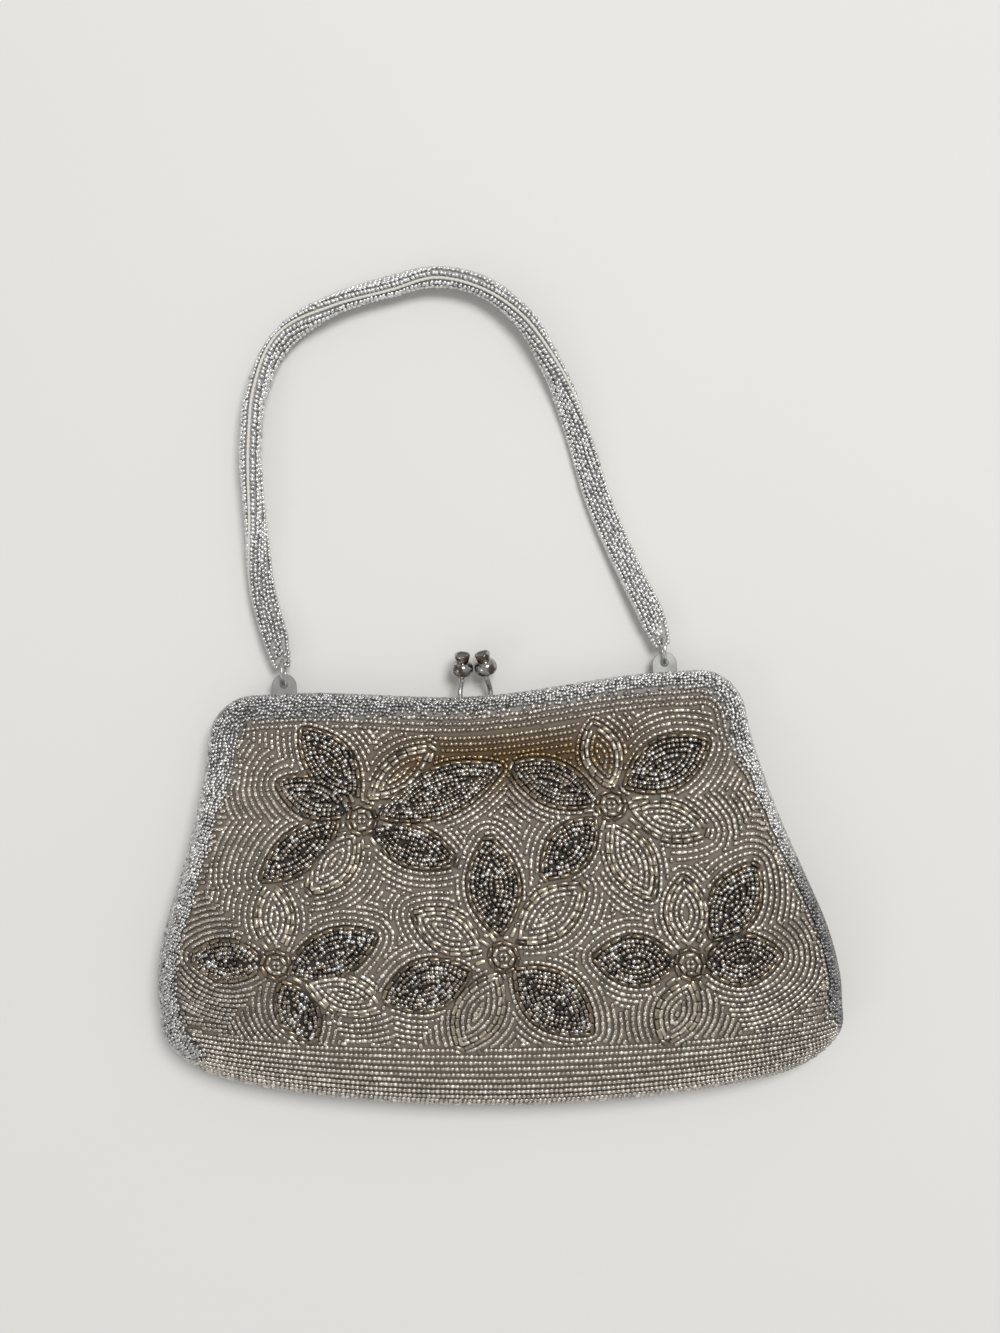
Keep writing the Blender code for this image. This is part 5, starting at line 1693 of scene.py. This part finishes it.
def strap_line():
    """Stations of the strap: centre, side way, face way, half sizes, length from tip, run."""
    knots = STRAP_TABLE[:, 0:2] * np.array([TAB_X, STRAP_REACH]) + np.array([0.0, TAB_HOLE_Y])
    run = run_length(knots)
    dense = np.linspace(0.0, run[-1], STRAP_SAMPLES)
    curves = [smooth_curve(np.stack([run, knots[:, k]], axis=1), dense) for k in (0, 1)]
    line = np.stack(curves, axis=1)
    turn = np.pi * smooth_curve(np.stack([run, STRAP_TABLE[:, 2]], axis=1), dense)
    walked = run_length(line)
    at = np.linspace(0.0, walked[-1], STRAP_STATIONS)
    line = read_at(at, walked, line)
    turn = np.interp(at, walked, turn)
    from_tip = np.minimum(at, walked[-1] - at)
    along = unit(np.gradient(line, axis=0))
    outward = np.stack([-along[:, 1], along[:, 0], np.zeros(STRAP_STATIONS)], axis=1)
    up = np.array([0.0, 0.0, 1.0])
    side = outward * np.cos(turn)[:, None] + up * np.sin(turn)[:, None]
    face = up * np.cos(turn)[:, None] - outward * np.sin(turn)[:, None]
    grown = smoothstep(from_tip / STRAP_TIP_LENGTH)
    standing = np.sin(turn) ** 2 * grown
    half = STRAP_TIP_WIDTH + (STRAP_WIDTH - STRAP_TIP_WIDTH) * grown - STRAP_ROUNDING[0] * standing
    half = half / 2
    thick = STRAP_TIP_THICKNESS + (STRAP_THICKNESS - STRAP_TIP_THICKNESS) * grown
    thick = (thick + STRAP_ROUNDING[1] * standing) / 2
    half = half * (0.45 + 0.55 * edge_rise(from_tip, 3.0, 2.0))
    section = strap_section(np.linspace(0, 1, 60))
    reach = side[:, 2:] * half[:, None] * section[0] + face[:, 2:] * thick[:, None] * section[1]
    under_seam = np.abs(side[:, 2]) * (half + 0.3 + SEAM_RADIUS) + SEAM_RADIUS
    lying = np.maximum(reach.max(axis=1), under_seam)
    height = lying + (TAB_Z - lying) * (1 - smoothstep(from_tip / STRAP_DROP))
    centre = np.concatenate([line, np.maximum(height, lying)[:, None]], axis=1)
    return centre, side, face, half, thick, from_tip, at


strap_centre, strap_side, strap_face, strap_half, strap_thick, strap_from_tip, strap_at = strap_line()


def at_station(values, u):
    """An array of the strap's stations, read at places between them."""
    stations = np.arange(len(values))
    if values.ndim == 1:
        return np.interp(u, stations, values)
    return read_at(u, stations, values)


def strap_place(u, v, inset=0.0):
    """Point of the strap's outside: u is a station along it and v a share of the way round it."""
    wide, high = strap_section(v)
    half = np.maximum(at_station(strap_half, u) - inset, 0.3)
    thick = np.maximum(at_station(strap_thick, u) - inset, 0.15)
    side, face = at_station(strap_side, u), at_station(strap_face, u)
    spread = side * (half * wide)[..., None] + face * (thick * high)[..., None]
    return at_station(strap_centre, u) + spread


def strap_core_finish():
    """Pale grey cloth under the strap's beads, loosely woven."""
    finish = Finish("Grey strap cloth", Roughness=0.9)
    weave = finish.weave(2200.0)
    mottle = finish.noise(120.0, 3.0)
    return finish.surface(
        Base_Color=finish.mix(mottle, (0.32, 0.31, 0.29), (0.48, 0.465, 0.44)),
        Normal=finish.bump(weave, 0.0001, 0.4),
    )


def make_strap_core():
    """Closed tube of cloth under the strap's beads."""
    stations = np.linspace(2, len(strap_centre) - 3, CORE_STEPS)
    shares = np.arange(CORE_SIDES) / CORE_SIDES
    rings = strap_place(stations[:, None] + 0 * shares, shares + 0 * stations[:, None], CORE_DEPTH)
    piece = put_tube("strap_cloth", rings, strap_core_finish(), flipped=True)
    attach(piece, "strap")
    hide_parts("strap_sleeve")


make_strap_core()
strap_bed = Bed()
strap_bed.taken = np.concatenate([ring_path_of(side) for side in (-1, 1)])


def swung_ring(side, degrees):
    """The ring as the strap sees it when swung up: turned back about the ring's far point."""
    path, turn = ring_path_of(side), -np.radians(degrees)
    pivot_y = TAB_HOLE_Y + 2 * RING_RADIUS
    y, z = path[:, 1] - pivot_y, path[:, 2] - TAB_Z
    y, z = y * np.cos(turn) - z * np.sin(turn), y * np.sin(turn) + z * np.cos(turn)
    return np.stack([path[:, 0], pivot_y + y, TAB_Z + z], axis=1)


swings = [(side, degrees) for side in (-1, 1) for degrees in range(0, 40, 6)]
ring_sweep = np.concatenate([swung_ring(side, degrees) for side, degrees in swings])
strap_outside = turned_down(strap_place)
stations = np.arange(len(strap_centre), dtype=float)
for slot in range(1, STRAP_SLOTS):
    if slot == STRAP_SLOTS // 2:
        continue
    by_seam = slot in SLANTED_SLOTS
    towards_seam = SEAM_CROWDING * (1 if slot in (7, 15) else -1) * by_seam
    share = np.full(len(stations), (slot + towards_seam) / STRAP_SLOTS)
    spacing = SLANTED_SPACING if by_seam else STRAP_SPACING
    beads = strung(strap_outside, -stations, share, spacing, rng.uniform(0, SLANTED_SPACING))
    if by_seam:
        slant = np.radians(SLANTED_SLOTS[slot])
        across = np.cross(beads[:, 6:9], beads[:, 3:6])
        beads[:, 3:6] = beads[:, 3:6] * np.cos(slant) + across * np.sin(slant)
    sunk = beads[:, 0:3] - beads[:, 6:9] * STRAP_BEAD_SINK
    clear = nearest(sunk, strap_bed.taken) >= STRAP_BEAD_GAP
    clear &= nearest(sunk, ring_sweep) >= RING_CLEARANCE
    strap_bed.taken = np.concatenate([strap_bed.taken, sunk[clear]])
    strap_bed.rows.setdefault("strap", []).append(beads[clear])
strap_rows = strap_bed.all_of("strap")
# Painted shade: the beads of the strap's left half are darker towards its lower end, and those of the
# right half are a little darker all along.
left_leg_painted_shade = 0.24 * smoothstep((116.0 - strap_rows[:, 1]) / 14.0)
strap_painted_shade = np.where(strap_rows[:, 0] < 0, left_leg_painted_shade, 0.08)[:, None]
strap_tones = np.maximum(varied(STRAP_TONE, len(strap_rows), 0.18) * (1 - strap_painted_shade), 0.4)
strap_size = (STRAP_BEAD_LENGTH, STRAP_BEAD_RADIUS)
strap_beads = make_beads(
    "strap_seed_beads", strap_rows, *strap_size, strap_tones, seed_glass, depth=0.6, loose=0.13
)
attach(strap_beads, "strap")


def cord_finish():
    """Cream cotton cord: fibres along it, dusty in the grooves."""
    finish = Finish("Cream cotton cord", Roughness=0.7, Sheen_Weight=0.3)
    fibre = finish.noise(2400.0, 3.0)
    return finish.surface(
        Base_Color=finish.mix(fibre, (0.80, 0.775, 0.71), (0.62, 0.59, 0.53)),
        Normal=finish.bump(fibre, 0.00005, 0.6),
    )


cream_cord = cord_finish()


def make_seam(name, edge):
    """Two-ply cord down one edge: its section is two lobes that turn as it runs."""
    kept = np.flatnonzero(strap_from_tip > SEAM_SKIP)
    stations = np.linspace(kept[0], kept[-1], SEAM_STEPS)
    side, face = at_station(strap_side, stations), at_station(strap_face, stations)
    out = at_station(strap_half, stations) - SEAM_INSET
    path = at_station(strap_centre, stations) + side * (edge * out)[:, None]
    twist = at_station(strap_at, stations) * 2 * np.pi / SEAM_TWIST
    lobes = np.abs(np.cos(full_turn(SEAM_SIDES)[None, :] - twist[:, None]))
    radius = SEAM_RADIUS * (SEAM_LOBES[0] + SEAM_LOBES[1] * lobes)[..., None]
    rings = rings_round(path, radius, side, face, SEAM_SIDES)
    rings[..., 2] = np.maximum(rings[..., 2], REST_HEIGHT)
    piece = put_tube(f"{name}_cord", rings, cream_cord, flipped=True)
    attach(piece, "strap")
    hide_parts(name)


make_seam("strap_seam_outer", 1)
make_seam("strap_seam_inner", -1)
